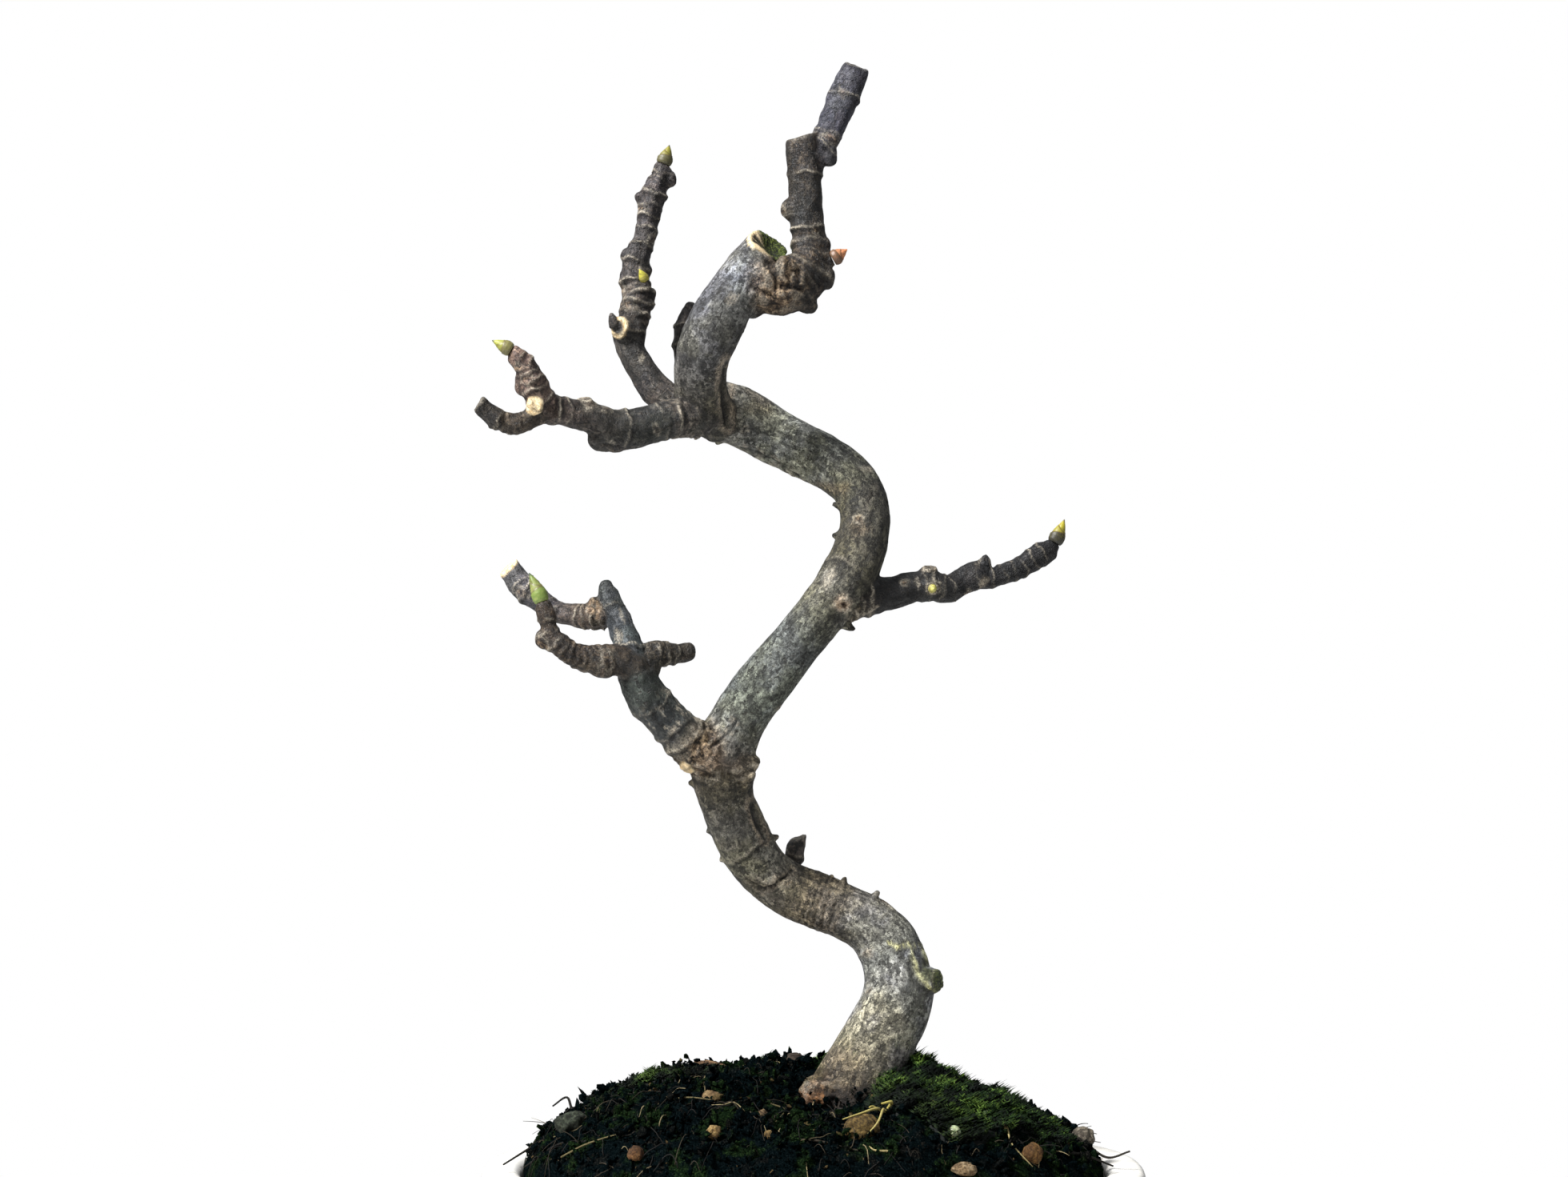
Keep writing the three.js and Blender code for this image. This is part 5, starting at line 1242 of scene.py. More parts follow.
def crumb_bodies(spots, sizes, seed):
    """Angular crumbs of the given half sizes, one at each spot."""
    chance = np.random.default_rng(seed)
    ball, faces = round_body(1)
    swell = np.clip(1 + 0.22 * chance.standard_normal((len(spots), len(ball), 1)), 0.6, 1.4)
    turns = turned(chance.uniform(0, 2 * np.pi, (len(spots), 3)))
    bodies = ball[None] * swell * sizes[:, None, :]
    bodies = np.einsum("nij,nkj->nki", turns, bodies) + spots[:, None, :]
    all_faces = faces[None] + (len(ball) * np.arange(len(spots)))[:, None, None]
    return bodies.reshape(-1, 3), all_faces.reshape(-1, 3)


def scattered(count, seed):
    """Places spread evenly over the soil."""
    chance = np.random.default_rng(seed)
    flat = chance.uniform(-1, 1, (count * 2, 2)) * SOIL_REACH
    return flat[soil_share(*flat.T) < 0.985][:count]


def from_trunk(flat):
    """Distance from the middle of the trunk's foot."""
    return np.hypot(flat[:, 0] - 8, flat[:, 1] + 1)


def cushion_wander(angle, seed):
    """How far the outline of a cushion strays from an even oval."""
    return (1 + 0.13 * np.sin(3 * angle + seed) + 0.08 * np.sin(5 * angle + 2 * seed)
            + 0.06 * np.sin(9 * angle + 3 * seed))


def moss_share(flat, name):
    """Distance from the middle of a cushion, 1 at its outline."""
    middle, reach, seed, _ = MOSS[name]
    offset = (flat - middle) / reach
    return np.linalg.norm(offset, axis=-1) / cushion_wander(np.arctan2(offset[..., 1], offset[..., 0]), seed)


def bare_soil(flat, edge=0.97):
    """Whether each place is clear of the moss."""
    return np.all([moss_share(flat, name) > edge for name in MOSS], axis=0)


def crumb_piece(name, count, low, high, seed, material):
    """Loose crumbs of soil, heaped against the trunk and over the left cushion."""
    chance = np.random.default_rng(seed)
    flat = scattered(count, seed)
    on_left = (moss_share(flat, "moss_left") < 0.97) & (np.hypot(*(flat - MOSS_LIT_PATCH[0][:2]).T) > 8)
    flat = flat[(from_trunk(flat) > 9.5) & (bare_soil(flat) | on_left)]
    for at, size, *_ in STONES.values():
        flat = flat[np.hypot(*(flat - at).T) > 0.42 * max(size)]
    half = low + (high - low) * chance.uniform(0, 1, len(flat)) ** 3
    sizes = half[:, None] * chance.uniform(0.5, 1.0, (len(flat), 3)) * (1.45, 0.9, 0.6)
    raised = 3.4 * (1 - smooth(0.75, 0.97, moss_share(flat, "moss_left")))
    against_trunk = 3.2 * (1 - smooth(0, 7, from_trunk(flat) - 9.5))
    heap = raised * chance.uniform(0.6, 1, len(flat)) + against_trunk
    lift = chance.uniform(0.15, 1.3, len(flat)) * half + 0.4 + heap * chance.uniform(0, 1, len(flat))
    points, faces = crumb_bodies(on_soil(flat, lift), sizes, seed)
    mesh = mesh_from(name, points, faces)
    each = len(points) // len(flat)
    tint, kind = (np.repeat(chance.uniform(0, 1, len(flat)), each) for _ in range(2))
    keep_values(mesh, "grains", tint, 0.8, kind)
    show(name, mesh, material, ["soil"], "soil_mix", False)


def sweep(centres, radii, sides):
    """Thin closed tube along a row of centres."""
    centres = np.asarray(centres, float)
    tangent = unit(np.gradient(centres, axis=0))
    helper = np.where(np.abs(tangent[:, 2:3]) > 0.9, (1.0, 0, 0), (0, 0, 1.0))
    across = unit(np.cross(tangent, helper))
    beside = np.cross(tangent, across)
    angle = around(sides)[None, :, None]
    round_way = across[:, None] * np.cos(angle) + beside[:, None] * np.sin(angle)
    rings = centres[:, None] + round_way * np.asarray(radii)[:, None, None]
    return skin(rings, centres[0], centres[-1])


def fine_rootlets(chance):
    """Fine roots and shreds that wander over the bare soil, each with its paleness and yellow."""
    starts = scattered(520, 22)
    starts = starts[(from_trunk(starts) > 12) & bare_soil(starts, 0.8)]
    for start in starts:
        length = 2.5 + 12 * chance.uniform(0, 1) ** 2
        steps = 12
        heading = chance.uniform(0, 2 * np.pi) + np.cumsum(chance.normal(0, 0.16, steps))
        walk = np.cumsum(np.column_stack([np.cos(heading), np.sin(heading)]) * length / steps, axis=0) + start
        walk = walk[soil_share(*walk.T) < 1.02]
        if len(walk) < 5:
            continue
        arch = chance.uniform(0, 1.8) * np.sin(np.linspace(0, np.pi, len(walk)))
        thick = chance.uniform(0.08, 0.2)
        radii = np.linspace(thick, 0.5 * thick, len(walk))
        yield sweep(on_soil(walk, 0.9 + arch), radii, 5), (chance.uniform(0, 1), 0)


def edge_rootlets(chance):
    """Rootlets that stand out at the left and right edges of the soil."""
    for side in np.repeat((-1, 1), 9):
        foot = oval(np.array([chance.uniform(-0.75, 0.35)]), 74, 50) * (side, 1)
        way = unit([side * chance.uniform(0.3, 1), chance.uniform(-0.8, 0.2), chance.uniform(0.1, 0.9)])
        length = chance.uniform(3, 10)
        share = np.linspace(0, 1, 10)[:, None]
        bend = chance.normal(0, 1.6, 3) * share ** 2
        line = on_soil(foot, 0.2) + way * share * length + bend - (0, 0, 2.4) * share ** 2
        line[:, 0] = np.clip(line[:, 0], -91, 91)
        thick = chance.uniform(0.1, 0.28)
        yield sweep(line, np.linspace(thick, 0.4 * thick, 10), 5), (chance.uniform(0, 1), 0)


def strands_and_stems():
    """The thicker root strands, and the pale stems with the withered sprout."""
    for k, strand in enumerate(STRANDS):
        strand = np.array(strand, float)
        girths = 0.5 * (1 - 0.5 * np.linspace(0, 1, len(strand)))
        stations = np.column_stack([on_soil(strand[:, :2], strand[:, 2]), girths])
        yield limb("", stations, k, 12, 0.8)[2], (0.25 + 0.1 * k, 0)
    for line, thick, tint, yellow in STEMS:
        route = np.array(line, float)
        shares = np.linspace(0, 1, 4 * len(line))
        centres = line_points(on_soil(route[:, :2], route[:, 2]), shares)
        yield sweep(centres, thick * (1 - 0.6 * shares ** 2), 7), (tint, yellow)


def rootlet_piece(material):
    """Everything thin that lies on the soil or stands out of it."""
    chance = np.random.default_rng(21)
    solids, shades = zip(*fine_rootlets(chance), *edge_rootlets(chance), *strands_and_stems())
    mesh = mesh_from("rootlets", *gathered(solids))
    counts = [len(points) for points, _ in solids]
    tint, yellow = np.repeat(shades, counts, axis=0).T
    keep_values(mesh, "grains", tint, 1.0, yellow)
    show("rootlets", mesh, material, ["soil"], "soil_mix")


def pad_height(name, flat, share):
    """Height over the rim of a cushion's pad, which thins out towards its outline."""
    x, y, seed = flat[..., 0], flat[..., 1], MOSS[name][2]
    dome = MOSS_DEPTH * np.sqrt(1 - 0.8 * share ** 3)
    tufts = 0.55 * ripple(x / 2.3 + seed, y / 2.3, 0.7)
    swells = 0.9 * noise(np.stack([x, y, 0 * share], -1), 4.6, 7)
    return soil_height(x, y) + dome + (tufts + swells) * (1 - share ** 4)


def moss_pad(name):
    """The soft pad under the shoots of a cushion."""
    middle, reach, seed, _ = MOSS[name]
    sides, ring_count = 120, 26
    angle = around(sides)
    wander = cushion_wander(angle, seed)
    outline = np.column_stack([reach[0] * wander * np.cos(angle), reach[1] * wander * np.sin(angle)])
    rings = [on_soil(outline + middle, -MOSS_FOOT)]
    for ring in range(ring_count):
        share = 1 - ring / ring_count
        flat = outline * share + middle
        rings.append(np.column_stack([flat, pad_height(name, flat, np.full(sides, share))]))
    summit = pad_height(name, np.array(middle, float), np.zeros(()))
    return skin(np.stack(rings), (*middle, soil_height(*middle) - MOSS_FOOT), (*middle, summit))


def moss_leaves(name, leaves):
    """The feet of the small shoots all over a cushion, and their leaves, each on every shoot at once."""
    middle, reach, seed, most = MOSS[name]
    chance = np.random.default_rng(int(seed * 10))
    flat = chance.uniform(-1.2, 1.2, (most * 3, 2)) * reach + middle
    share = moss_share(flat, name)
    keep = (share < 0.99) & (soil_share(*flat.T) < 0.985) & (from_trunk(flat) > 11.5)
    flat, share = flat[keep][:most], share[keep][:most]
    feet = np.column_stack([flat, pad_height(name, flat, share) - 0.35])
    count = len(feet)
    lean = np.column_stack([(flat - middle) / reach * 0.45, np.ones(count)])
    stem = unit(lean + chance.normal(0, 0.22, (count, 3)))
    tall = chance.uniform(1.2, 3.1, count) * (1 + 0.5 * noise(np.column_stack([flat, 0 * share]), 3.2, 9))
    if name == "moss_left":
        tall = tall * (0.45 + 0.55 * near_spot(feet, *MOSS_LIT_PATCH))
    faces = np.array([[0, 2, 1], [0, 1, 3], [1, 2, 3], [2, 0, 3]])
    all_faces = (faces[None] + 4 * np.arange(count)[:, None, None]).reshape(-1, 3)
    solids = []
    for leaf, start in enumerate(around(leaves)):
        turn = start + chance.uniform(0, 1.2, count)
        out = np.column_stack([np.cos(turn), np.sin(turn), np.zeros(count)])
        way = unit(stem * (0.55 if leaf else 1.4) + out * (0.75 if leaf else 0.1))
        base = feet + stem * (tall * (0.15 + 0.13 * leaf))[:, None]
        tip = base + way * (tall * chance.uniform(0.55, 0.9, count))[:, None]
        side = unit(np.cross(way, stem + out * 0.2))
        wide = (0.34 + 0.1 * chance.uniform(-1, 1, count))[:, None]
        back = unit(np.cross(side, way)) * wide * 0.5
        corners = np.stack([base - side * wide, base + side * wide, base + back, tip], 1)
        solids.append((corners.reshape(-1, 3), all_faces))
    return feet, solids


def moss_piece(name, material):
    """A cushion: a soft pad set all over with small leafy shoots, with painted shade over the left cushion
    outside its lit patch and down the lower front of the right one.
    """
    pad, leaves = moss_pad(name), 6
    feet, solids = moss_leaves(name, leaves)
    points, faces = gathered([pad, *solids])
    mesh = mesh_from(name, points, faces)
    # The pad takes the lowest lightness, which the material paints as shade under the shoots; each leaf is
    # lighter at its tip than at its base, partly its own colour and partly painted light
    light = np.concatenate([np.zeros(len(pad[0])), np.tile([0.35, 0.35, 0.35, 1.0], len(feet) * leaves)])
    patch = np.tile(np.repeat(0.5 + 0.5 * noise(feet, 4.2, 13), 4), leaves)
    patch = np.concatenate([np.full(len(pad[0]), 0.5), patch])
    # Painted shade: on the left cushion outside its lit patch, and on the right one down its front below the
    # crest
    dark = 0.0
    if name == "moss_left":
        dark = 1 - near_spot(points, *MOSS_LIT_PATCH)
    elif name == "moss_right":
        drop = soil_height(points[:, 0], 0 * points[:, 0]) + 2.5 - points[:, 2] + 1.5 * noise(points, 5, 17)
        dark = 0.84 * smooth(1.5, 7.5, drop + 3 * (1 - smooth(24, 33, points[:, 0])))
    keep_values(mesh, "moss", light, patch, dark)
    show(name + "_shoots", mesh, material, [name], "moss_green")


def lump(size, seed, unevenness, level, grit, grit_size):
    """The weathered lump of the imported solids, with a finer skin."""
    ball, faces = round_body(level)
    x, y, z = 1.9 * ball.T
    bulge = 1 + unevenness * ripple(x + seed, y - seed, z + 2 * seed)
    points = ball * bulge[:, None] * np.asarray(size) * 0.5
    points = points + ball * (grit * rough(points + 17 * seed, grit_size, 3, int(10 * seed)))[:, None]
    return points, faces


def show_on_soil(name, points, faces, angles, at, lift, material, slot):
    """Turns a weathered lump, sets it on the soil and shows it."""
    points = points @ turned([angles])[0].T + (*at, soil_height(*at) + lift)
    show(name + "_worn", mesh_from(name + "_worn", points, faces), material, [name], slot)


def stone_pieces():
    """The twelve stones."""
    for k, (name, (at, size, turn, lift, slot, colours)) in enumerate(STONES.items()):
        points, faces = lump(size, 1 + 0.7 * k, 0.16, 5 if max(size) > 5 else 4, 0.22, max(size) * 0.32)
        show_on_soil(name, points, faces, (0.1, 0.05, turn), at, lift, stone_material(name, *colours), slot)


def wood_pieces():
    """The layered flakes of bark and the rotted lump."""
    for k, (name, (at, size, tilt, lift, title, base, light)) in enumerate(WOOD.items()):
        points, faces = lump(size, 5 + 1.3 * k, 0.12, 5, 0.1, 2.0)
        layers = 0.32 * noise(points * (0.25, 1.6, 2.4), 1.5, 70 + k) + 0.12 * noise(points, 0.9, 80 + k)
        points = points * (1 + 0.28 * layers)[:, None]
        angles = (tilt[1], tilt[0], 0.3 * k)
        show_on_soil(name, points, faces, angles, at, lift, old_bark_material(title, base, light), "old_bark")


def bead_pieces(material):
    """The two feed pellets on the moss."""
    for k, (name, (at, radius)) in enumerate(BEADS.items()):
        ball, faces = round_body(4)
        points = ball * radius * (1 + 0.02 * noise(ball * 3, 1, k))[:, None]
        points = points + (*at, soil_height(*at) + MOSS_DEPTH + 0.3 * radius)
        show(name + "_smooth", mesh_from(name + "_smooth", points, faces), material, [name], "feed_bead")


def bud_piece(name):
    """A pointed bud wrapped in overlapping scales, its tip drawn out and a little bent."""
    foot, tip, radius, slot, colours = BUDS[name]
    axis, sides = np.subtract(tip, foot), 40
    length = np.linalg.norm(axis)
    rises = np.concatenate([[0.0], np.linspace(0.02, 1, 44)])
    girths = np.interp(rises, (0, 0.1, 0.28, 0.5, 0.75, 0.9, 1), (0.86, 1, 1.04, 0.86, 0.5, 0.22, 0.05))
    angle, rise = around(sides)[None, :], rises[:, None]
    edge_one = 0.26 + 0.2 * np.abs(np.sin(0.5 * angle + 0.4)) ** 1.4
    edge_two = 0.5 + 0.22 * np.abs(np.sin(0.5 * angle + 1.9)) ** 1.4
    over_one, over_two = (smooth(-0.02, 0.02, edge - rise) for edge in (edge_one, edge_two))
    seam_gap = (angle + 2.2 * rise - 2.4 + np.pi) % (2 * np.pi) - np.pi
    seam = bell(seam_gap, 0.16) * (rise > edge_two)
    reach = radius * girths[:, None] * (0.9 + 0.07 * over_one + 0.06 * over_two - 0.09 * seam)
    reach = reach * (1 + 0.03 * np.sin(2 * angle + 1))
    bend = 0.06 * length * rise ** 3
    rings = np.stack([reach * np.cos(angle) + bend, reach * np.sin(angle), rise * length + 0 * angle], -1)
    points, faces = skin(rings, (0, 0, 0), (bend[-1, 0], 0, length))
    way = unit(axis)
    side = unit(np.cross((0, -1.0, 0), way))
    mesh = mesh_from(name + "_scaled", points @ np.stack([side, np.cross(way, side), way]) + foot, faces)
    edges = bell(rise - edge_one, 0.025) + bell(rise - edge_two, 0.025) + 0.8 * seam
    spread = np.concatenate([[0], np.repeat(rises, sides), [1]])
    lines = np.concatenate([[0], edges.ravel(), [0]])
    outer = np.concatenate([[1], over_one.ravel(), [0]])
    keep_values(mesh, "bud", spread, lines, outer)
    show(name + "_scaled", mesh, bud_material(name, *colours), [name], slot)


def turned_profile(profile, sides, middle):
    """A round body from rows of radius and height, shut by its first and last points."""
    angle = around(sides)
    rings = np.stack([np.column_stack([r * np.cos(angle), r * np.sin(angle), np.full(sides, h)])
                      for r, h in profile]) + middle
    first, last = (np.array(middle) + (0, 0, profile[end][1]) for end in (0, -1))
    return skin(rings, first, last)


def combined(name, body, tools, operation):
    """The body with every tool joined to it, or cut out of it."""
    holder = in_scene(name, mesh_from(name, *body))
    used = [holder]
    for tool in tools:
        used.append(in_scene("tool", mesh_from("tool", *tool)))
        step = holder.modifiers.new("step", "BOOLEAN")
        step.operation = operation
        step.solver = "EXACT"
        step.object = used[-1]
    done = applied(holder)
    for made in used:
        spare = made.data
        bpy.data.objects.remove(made)
        bpy.data.meshes.remove(spare)
    return done


def pot_piece(material):
    """The oval pot, with softly rounded lips, feet and drain holes."""
    rings = np.stack([oval_ring(inset, height, 288) for height, inset in POT_WALL])
    body = skin(rings, (0, 0, FOOT_HEIGHT - RIM), (0, 0, CAVITY_FLOOR - RIM))
    drains = [turned_profile(DRAIN, 48, (x * DRAIN_PLACE, 0, FOOT_HEIGHT - RIM)) for x in (-1, 1)]
    places = [(x * FOOT_PLACE[0], y * FOOT_PLACE[1], -RIM) for x in (-1, 1) for y in (-1, 1)]
    feet = [turned_profile(FOOT, 48, place) for place in places]
    drained = combined("pot_body", body, drains, "DIFFERENCE")
    points = points_of(drained)
    drained.calc_loop_triangles()
    corners = np.empty(len(drained.loop_triangles) * 3, np.int32)
    drained.loop_triangles.foreach_get("vertices", corners)
    mesh = combined("pot_glazed", (points, corners.reshape(-1, 3)), feet, "UNION")
    mesh.name = "pot_glazed"
    show("pot_glazed", mesh, material, ["pot"], "pot_glaze")
    mesh.set_sharp_from_angle(angle=math.radians(38))


def linear(colour):
    """Linear light of 8-bit colour values."""
    share = np.asarray(colour, float) / 255
    return np.where(share <= 0.04045, share / 12.92, ((share + 0.055) / 1.055) ** 2.4)


def node_colour(colour):
    """Colour for a node's input: three 8-bit values, or one share for a grey. An output stays as it is."""
    if isinstance(colour, tuple):
        return (*linear(colour).tolist(), 1.0)
    if isinstance(colour, float):
        return (colour, colour, colour, 1.0)
    return colour


def add_node(tree, kind, inputs=None, **settings):
    """A node with its settings, and its inputs set or linked."""
    node = tree.nodes.new("ShaderNode" + kind)
    for key, value in settings.items():
        setattr(node, key, value)
    for key, value in (inputs or {}).items():
        if isinstance(value, bpy.types.NodeSocket):
            tree.links.new(value, node.inputs[key])
        else:
            node.inputs[key].default_value = value
    return node


class Surface:
    """A material built node by node."""

    def __init__(self, name, roughness, bump=0.0004):
        self.material = bpy.data.materials.new(name)
        self.material.use_nodes = True
        self.tree = self.material.node_tree
        self.tree.nodes.clear()
        out = self.add("OutputMaterial")
        self.shader = self.add("BsdfPrincipled", {"Roughness": roughness})
        self.tree.links.new(self.shader.outputs[0], out.inputs[0])
        self.place = self.add("TexCoord").outputs["Object"]
        self.bump_size = bump

    def add(self, kind, inputs=None, **settings):
        return add_node(self.tree, kind, inputs, **settings)

    def kept(self, name, output):
        """What a mesh keeps at its points."""
        return self.add("Attribute", attribute_name=name, attribute_type="GEOMETRY").outputs[output]

    def values(self, name):
        """The three values that a mesh keeps at its points."""
        return self.add("SeparateColor", {"Color": self.kept(name, "Color")}).outputs[:3]

    def vectors(self, operation, first, second):
        key = "Scale" if operation == "SCALE" else 1
        return self.add("VectorMath", {0: first, key: second}, operation=operation).outputs[0]

    def scaled(self, vector, scale):
        return self.vectors("MULTIPLY", vector, scale)

    def noise(self, size, detail=4.0, roughness=0.6, vector=None, distortion=0.0):
        """Noise with features of the given size in millimetres."""
        return self.add("TexNoise", {
            "Vector": vector or self.place, "Scale": 1000 / size, "Detail": detail,
            "Roughness": roughness, "Distortion": distortion}).outputs["Fac"]

    def bent(self, vector, size, reach):
        """The vector pushed about by noise of the given size, up to about reach millimetres."""
        push = self.add("TexNoise", {"Vector": self.place, "Scale": 1000 / size, "Detail": 2.0})
        push = self.vectors("SUBTRACT", push.outputs["Color"], (0.5, 0.5, 0.5))
        return self.vectors("ADD", vector, self.vectors("SCALE", push, 0.004 * reach))

    def cells(self, size, vector=None, output="Distance", feature="F1"):
        """Cells of the given size in millimetres."""
        return self.add("TexVoronoi", {
            "Vector": vector or self.place, "Scale": 1000 / size}, feature=feature).outputs[output]

    def ramp(self, share, *stops):
        """Colours at rising shares."""
        node = self.add("ValToRGB", {"Fac": share})
        marks = node.color_ramp.elements
        while len(marks) < len(stops):
            marks.new(0.5)
        for mark, (place, colour) in zip(marks, stops):
            mark.position = place
            mark.color = node_colour(colour)
        return node.outputs["Color"]

    def between(self, share, low, high, bottom=0.0, top=1.0):
        """Soft step from bottom at low to top at high."""
        return self.add("MapRange", {
            "Value": share, "From Min": low, "From Max": high, "To Min": bottom, "To Max": top},
            interpolation_type="SMOOTHSTEP").outputs[0]

    def maths(self, operation, first, second=0.0):
        return self.add("Math", {0: first, 1: second}, operation=operation, use_clamp=False).outputs[0]

    def product(self, value, *others):
        """All the values multiplied."""
        for other in others:
            value = self.maths("MULTIPLY", value, other)
        return value

    def total(self, *weighed):
        """Sum of values, each with its weight."""
        parts = [self.product(*part) for part in weighed]
        value = parts[0]
        for part in parts[1:]:
            value = self.maths("ADD", value, part)
        return value

    def mix(self, share, first, second):
        """Between two colours."""
        return self.add("Mix", {0: share, 6: node_colour(first), 7: node_colour(second)},
                        data_type="RGBA", blend_type="MIX").outputs[2]

    def laid(self, under, over, *shares):
        """A colour with another laid over it, by the product of the shares."""
        return self.mix(self.product(*shares), under, over)

    def times(self, first, second, scale=1.0):
        """Product of two colours."""
        product = self.scaled(first, second)
        return product if scale == 1.0 else self.vectors("SCALE", product, scale)

    def finish(self, colour, height=None, strength=0.6, roughness=None, **sockets):
        """The material with its colour, relief and roughness."""
        ends = {"Base Color": colour}
        if roughness is not None:
            ends["Roughness"] = roughness
        if height is not None:
            bump = {"Height": height, "Strength": strength, "Distance": self.bump_size}
            ends["Normal"] = self.add("Bump", bump).outputs[0]
        for key, output in ends.items():
            self.tree.links.new(output, self.shader.inputs[key])
        for key, value in sockets.items():
            self.shader.inputs[key.replace("_", " ")].default_value = value
        return self.material


def bark_material():
    s = Surface("bark", 0.65, 0.0012)
    tone, warm, pale = s.values("bark")
    cream, green, deep = s.values("marks")
    tint, grain = s.kept("tint", "Color"), s.kept("grain", "Vector")
    mottle = s.noise(1.5, 5, 0.62, distortion=0.3)
    flecks = s.noise(0.55, 2)
    fibre = s.noise(0.85, 4, 0.66, s.scaled(grain, (1, 1, 0.2)))
    across = s.noise(0.9, 3, 0.6, s.scaled(grain, (0.3, 0.3, 1.15)))
    patches = s.noise(13)
    blotches = s.noise(4.6, 5, 0.68, distortion=0.9)
    bent = s.bent(grain, 1.3, 0.9)
    flakes = s.cells(1.25, s.scaled(bent, (1, 1, 0.42)), "Color")
    chips = s.cells(0.7, s.scaled(bent, (1, 1, 0.6)), "Color")
    mixed = s.total((mottle, 0.3), (flecks, 0.2), (fibre, 0.26), (across, 0.18),
                    (s.maths("SUBTRACT", blotches, 0.5), 0.05))
    mixed = s.maths("ADD", s.maths("SUBTRACT", mixed, 0.125), s.total((flakes, 0.17), (chips, 0.14)))

    smooth_bark = s.ramp(mixed, (0.4, 0.16), (0.455, 0.28), (0.5, 0.39), (0.55, 0.51), (0.62, 0.76))
    dark_bark = s.ramp(mixed, (0.38, 0.23), (0.455, 0.33), (0.52, 0.4), (0.59, 0.51), (0.66, 0.7))
    cast = s.mix(s.between(patches, 0.42, 0.58), (250, 250, 238), (238, 241, 250))
    colour = s.times(s.times(tint, s.mix(tone, dark_bark, smooth_bark)), cast, 2.15)
    steps = s.ramp(flakes, (0.3, 0.46), (0.34, 0.64), (0.62, 0.66), (0.66, 0.9), (0.8, 0.94))
    colour = s.times(colour, steps, 1.46)

    splits = s.between(s.noise(1.1, 3, 0.6, s.scaled(grain, (1.1, 1.1, 0.16))), 0.385, 0.33)
    splits = s.product(splits, s.between(blotches, 0.62, 0.42))
    colour = s.laid(colour, (30, 27, 22), splits, s.between(tone, 0.0, 1.0, 0.7, 0.26))
    mostly_smooth = s.between(tone, 0.0, 1.0, 0.12, 1.0)
    worms = s.maths("ABSOLUTE", s.maths("SUBTRACT", s.noise(1.25, 2, 0.5, distortion=0.9), 0.5))
    worms = s.product(s.between(worms, 0.03, 0.008), s.between(blotches, 0.45, 0.55), mostly_smooth)
    colour = s.laid(colour, s.scaled(colour, (1.9, 1.9, 1.86)), worms, 0.85)
    net = s.cells(1.7, s.scaled(s.bent(grain, 1.1, 0.8), (1, 1, 0.55)), feature="DISTANCE_TO_EDGE")
    net = s.product(s.between(net, 0.075, 0.015), s.between(mottle, 0.62, 0.44))
    colour = s.laid(colour, (42, 39, 33), net, s.between(tone, 0.0, 1.0, 0.16, 0.4))
    brown = s.ramp(mixed, (0.4, (26, 19, 14)), (0.48, (78, 62, 47)), (0.54, (128, 106, 82)),
                   (0.61, (196, 170, 136)))
    colour = s.laid(colour, brown, warm, s.between(patches, 0.36, 0.62, 0.3, 1.0))

    dotted = s.scaled(grain, (0.8, 0.8, 1.7))
    dots, chosen = s.cells(2.3, dotted), s.cells(2.3, dotted, "Color")
    specks = s.product(s.between(dots, 0.24, 0.1), s.between(chosen, 0.54, 0.62), mostly_smooth)
    pits = s.product(s.between(dots, 0.26, 0.12), s.between(chosen, 0.44, 0.38))
    colour = s.laid(colour, s.scaled(colour, (1.8, 1.74, 1.62)), specks, 0.8)
    colour = s.laid(colour, (34, 27, 21), pits, 0.65)
    colour = s.laid(colour, (178, 168, 150), pale, s.between(flecks, 0.38, 0.6, 0.2, 1.0))
    moss = s.ramp(flecks, (0.34, (16, 22, 8)), (0.5, (54, 66, 22)), (0.66, (126, 138, 60)))
    colour = s.laid(colour, moss, green)
    wood = s.ramp(fibre, (0.35, (224, 190, 138)), (0.6, (250, 228, 186)))
    colour = s.laid(colour, wood, cream)
    # Painted shade in cracks, grooves, creases, under rings and in hollows, with the dark of some cut faces
    colour = s.laid(colour, (14, 11, 9), deep, 0.9)

    dips = s.maths("MAXIMUM", pits, s.maths("MAXIMUM", splits, net))
    height = s.maths("SUBTRACT", s.total((mixed, 0.9), (specks, 0.2)), s.product(dips, 0.25))
    roughness = s.maths("ADD", s.between(mottle, 0.3, 0.7, 0.62, 0.46), s.product(tone, 0.16))
    return s.finish(colour, height, 0.9, roughness, Specular_IOR_Level=0.36)


def soil_material():
    s = Surface("soil", 0.9, 0.0005)
    tint, depth, kind = s.values("grains")
    fine, wide = s.noise(0.5, 4, 0.75), s.noise(9, 3)
    # These colours are partly the soil's own black-brown and partly painted shade that darkens it further
    dark = s.ramp(fine, (0.36, (1, 3, 4)), (0.5, (4, 9, 10)), (0.6, (11, 18, 20)), (0.68, (32, 40, 40)))
    brown = s.ramp(fine, (0.36, (4, 5, 5)), (0.52, (11, 12, 12)), (0.66, (44, 42, 36)))
    tan = s.ramp(fine, (0.3, (30, 24, 16)), (0.6, (88, 74, 50)))
    green = s.ramp(fine, (0.36, (6, 12, 5)), (0.55, (22, 36, 16)), (0.68, (62, 84, 34)))
    colour = s.laid(dark, brown, s.between(tint, 0.7, 1.0))
    colour = s.laid(colour, tan, s.between(kind, 0.985, 0.99))
    colour = s.laid(colour, green, s.between(wide, 0.5, 0.62), 0.6)
    # Painted shade in the low places between grains
    colour = s.laid(colour, (2, 3, 3), s.between(depth, 0.5, 0.1, 0.0, 0.8))
    return s.finish(colour, fine, 0.9, Specular_IOR_Level=0.0)


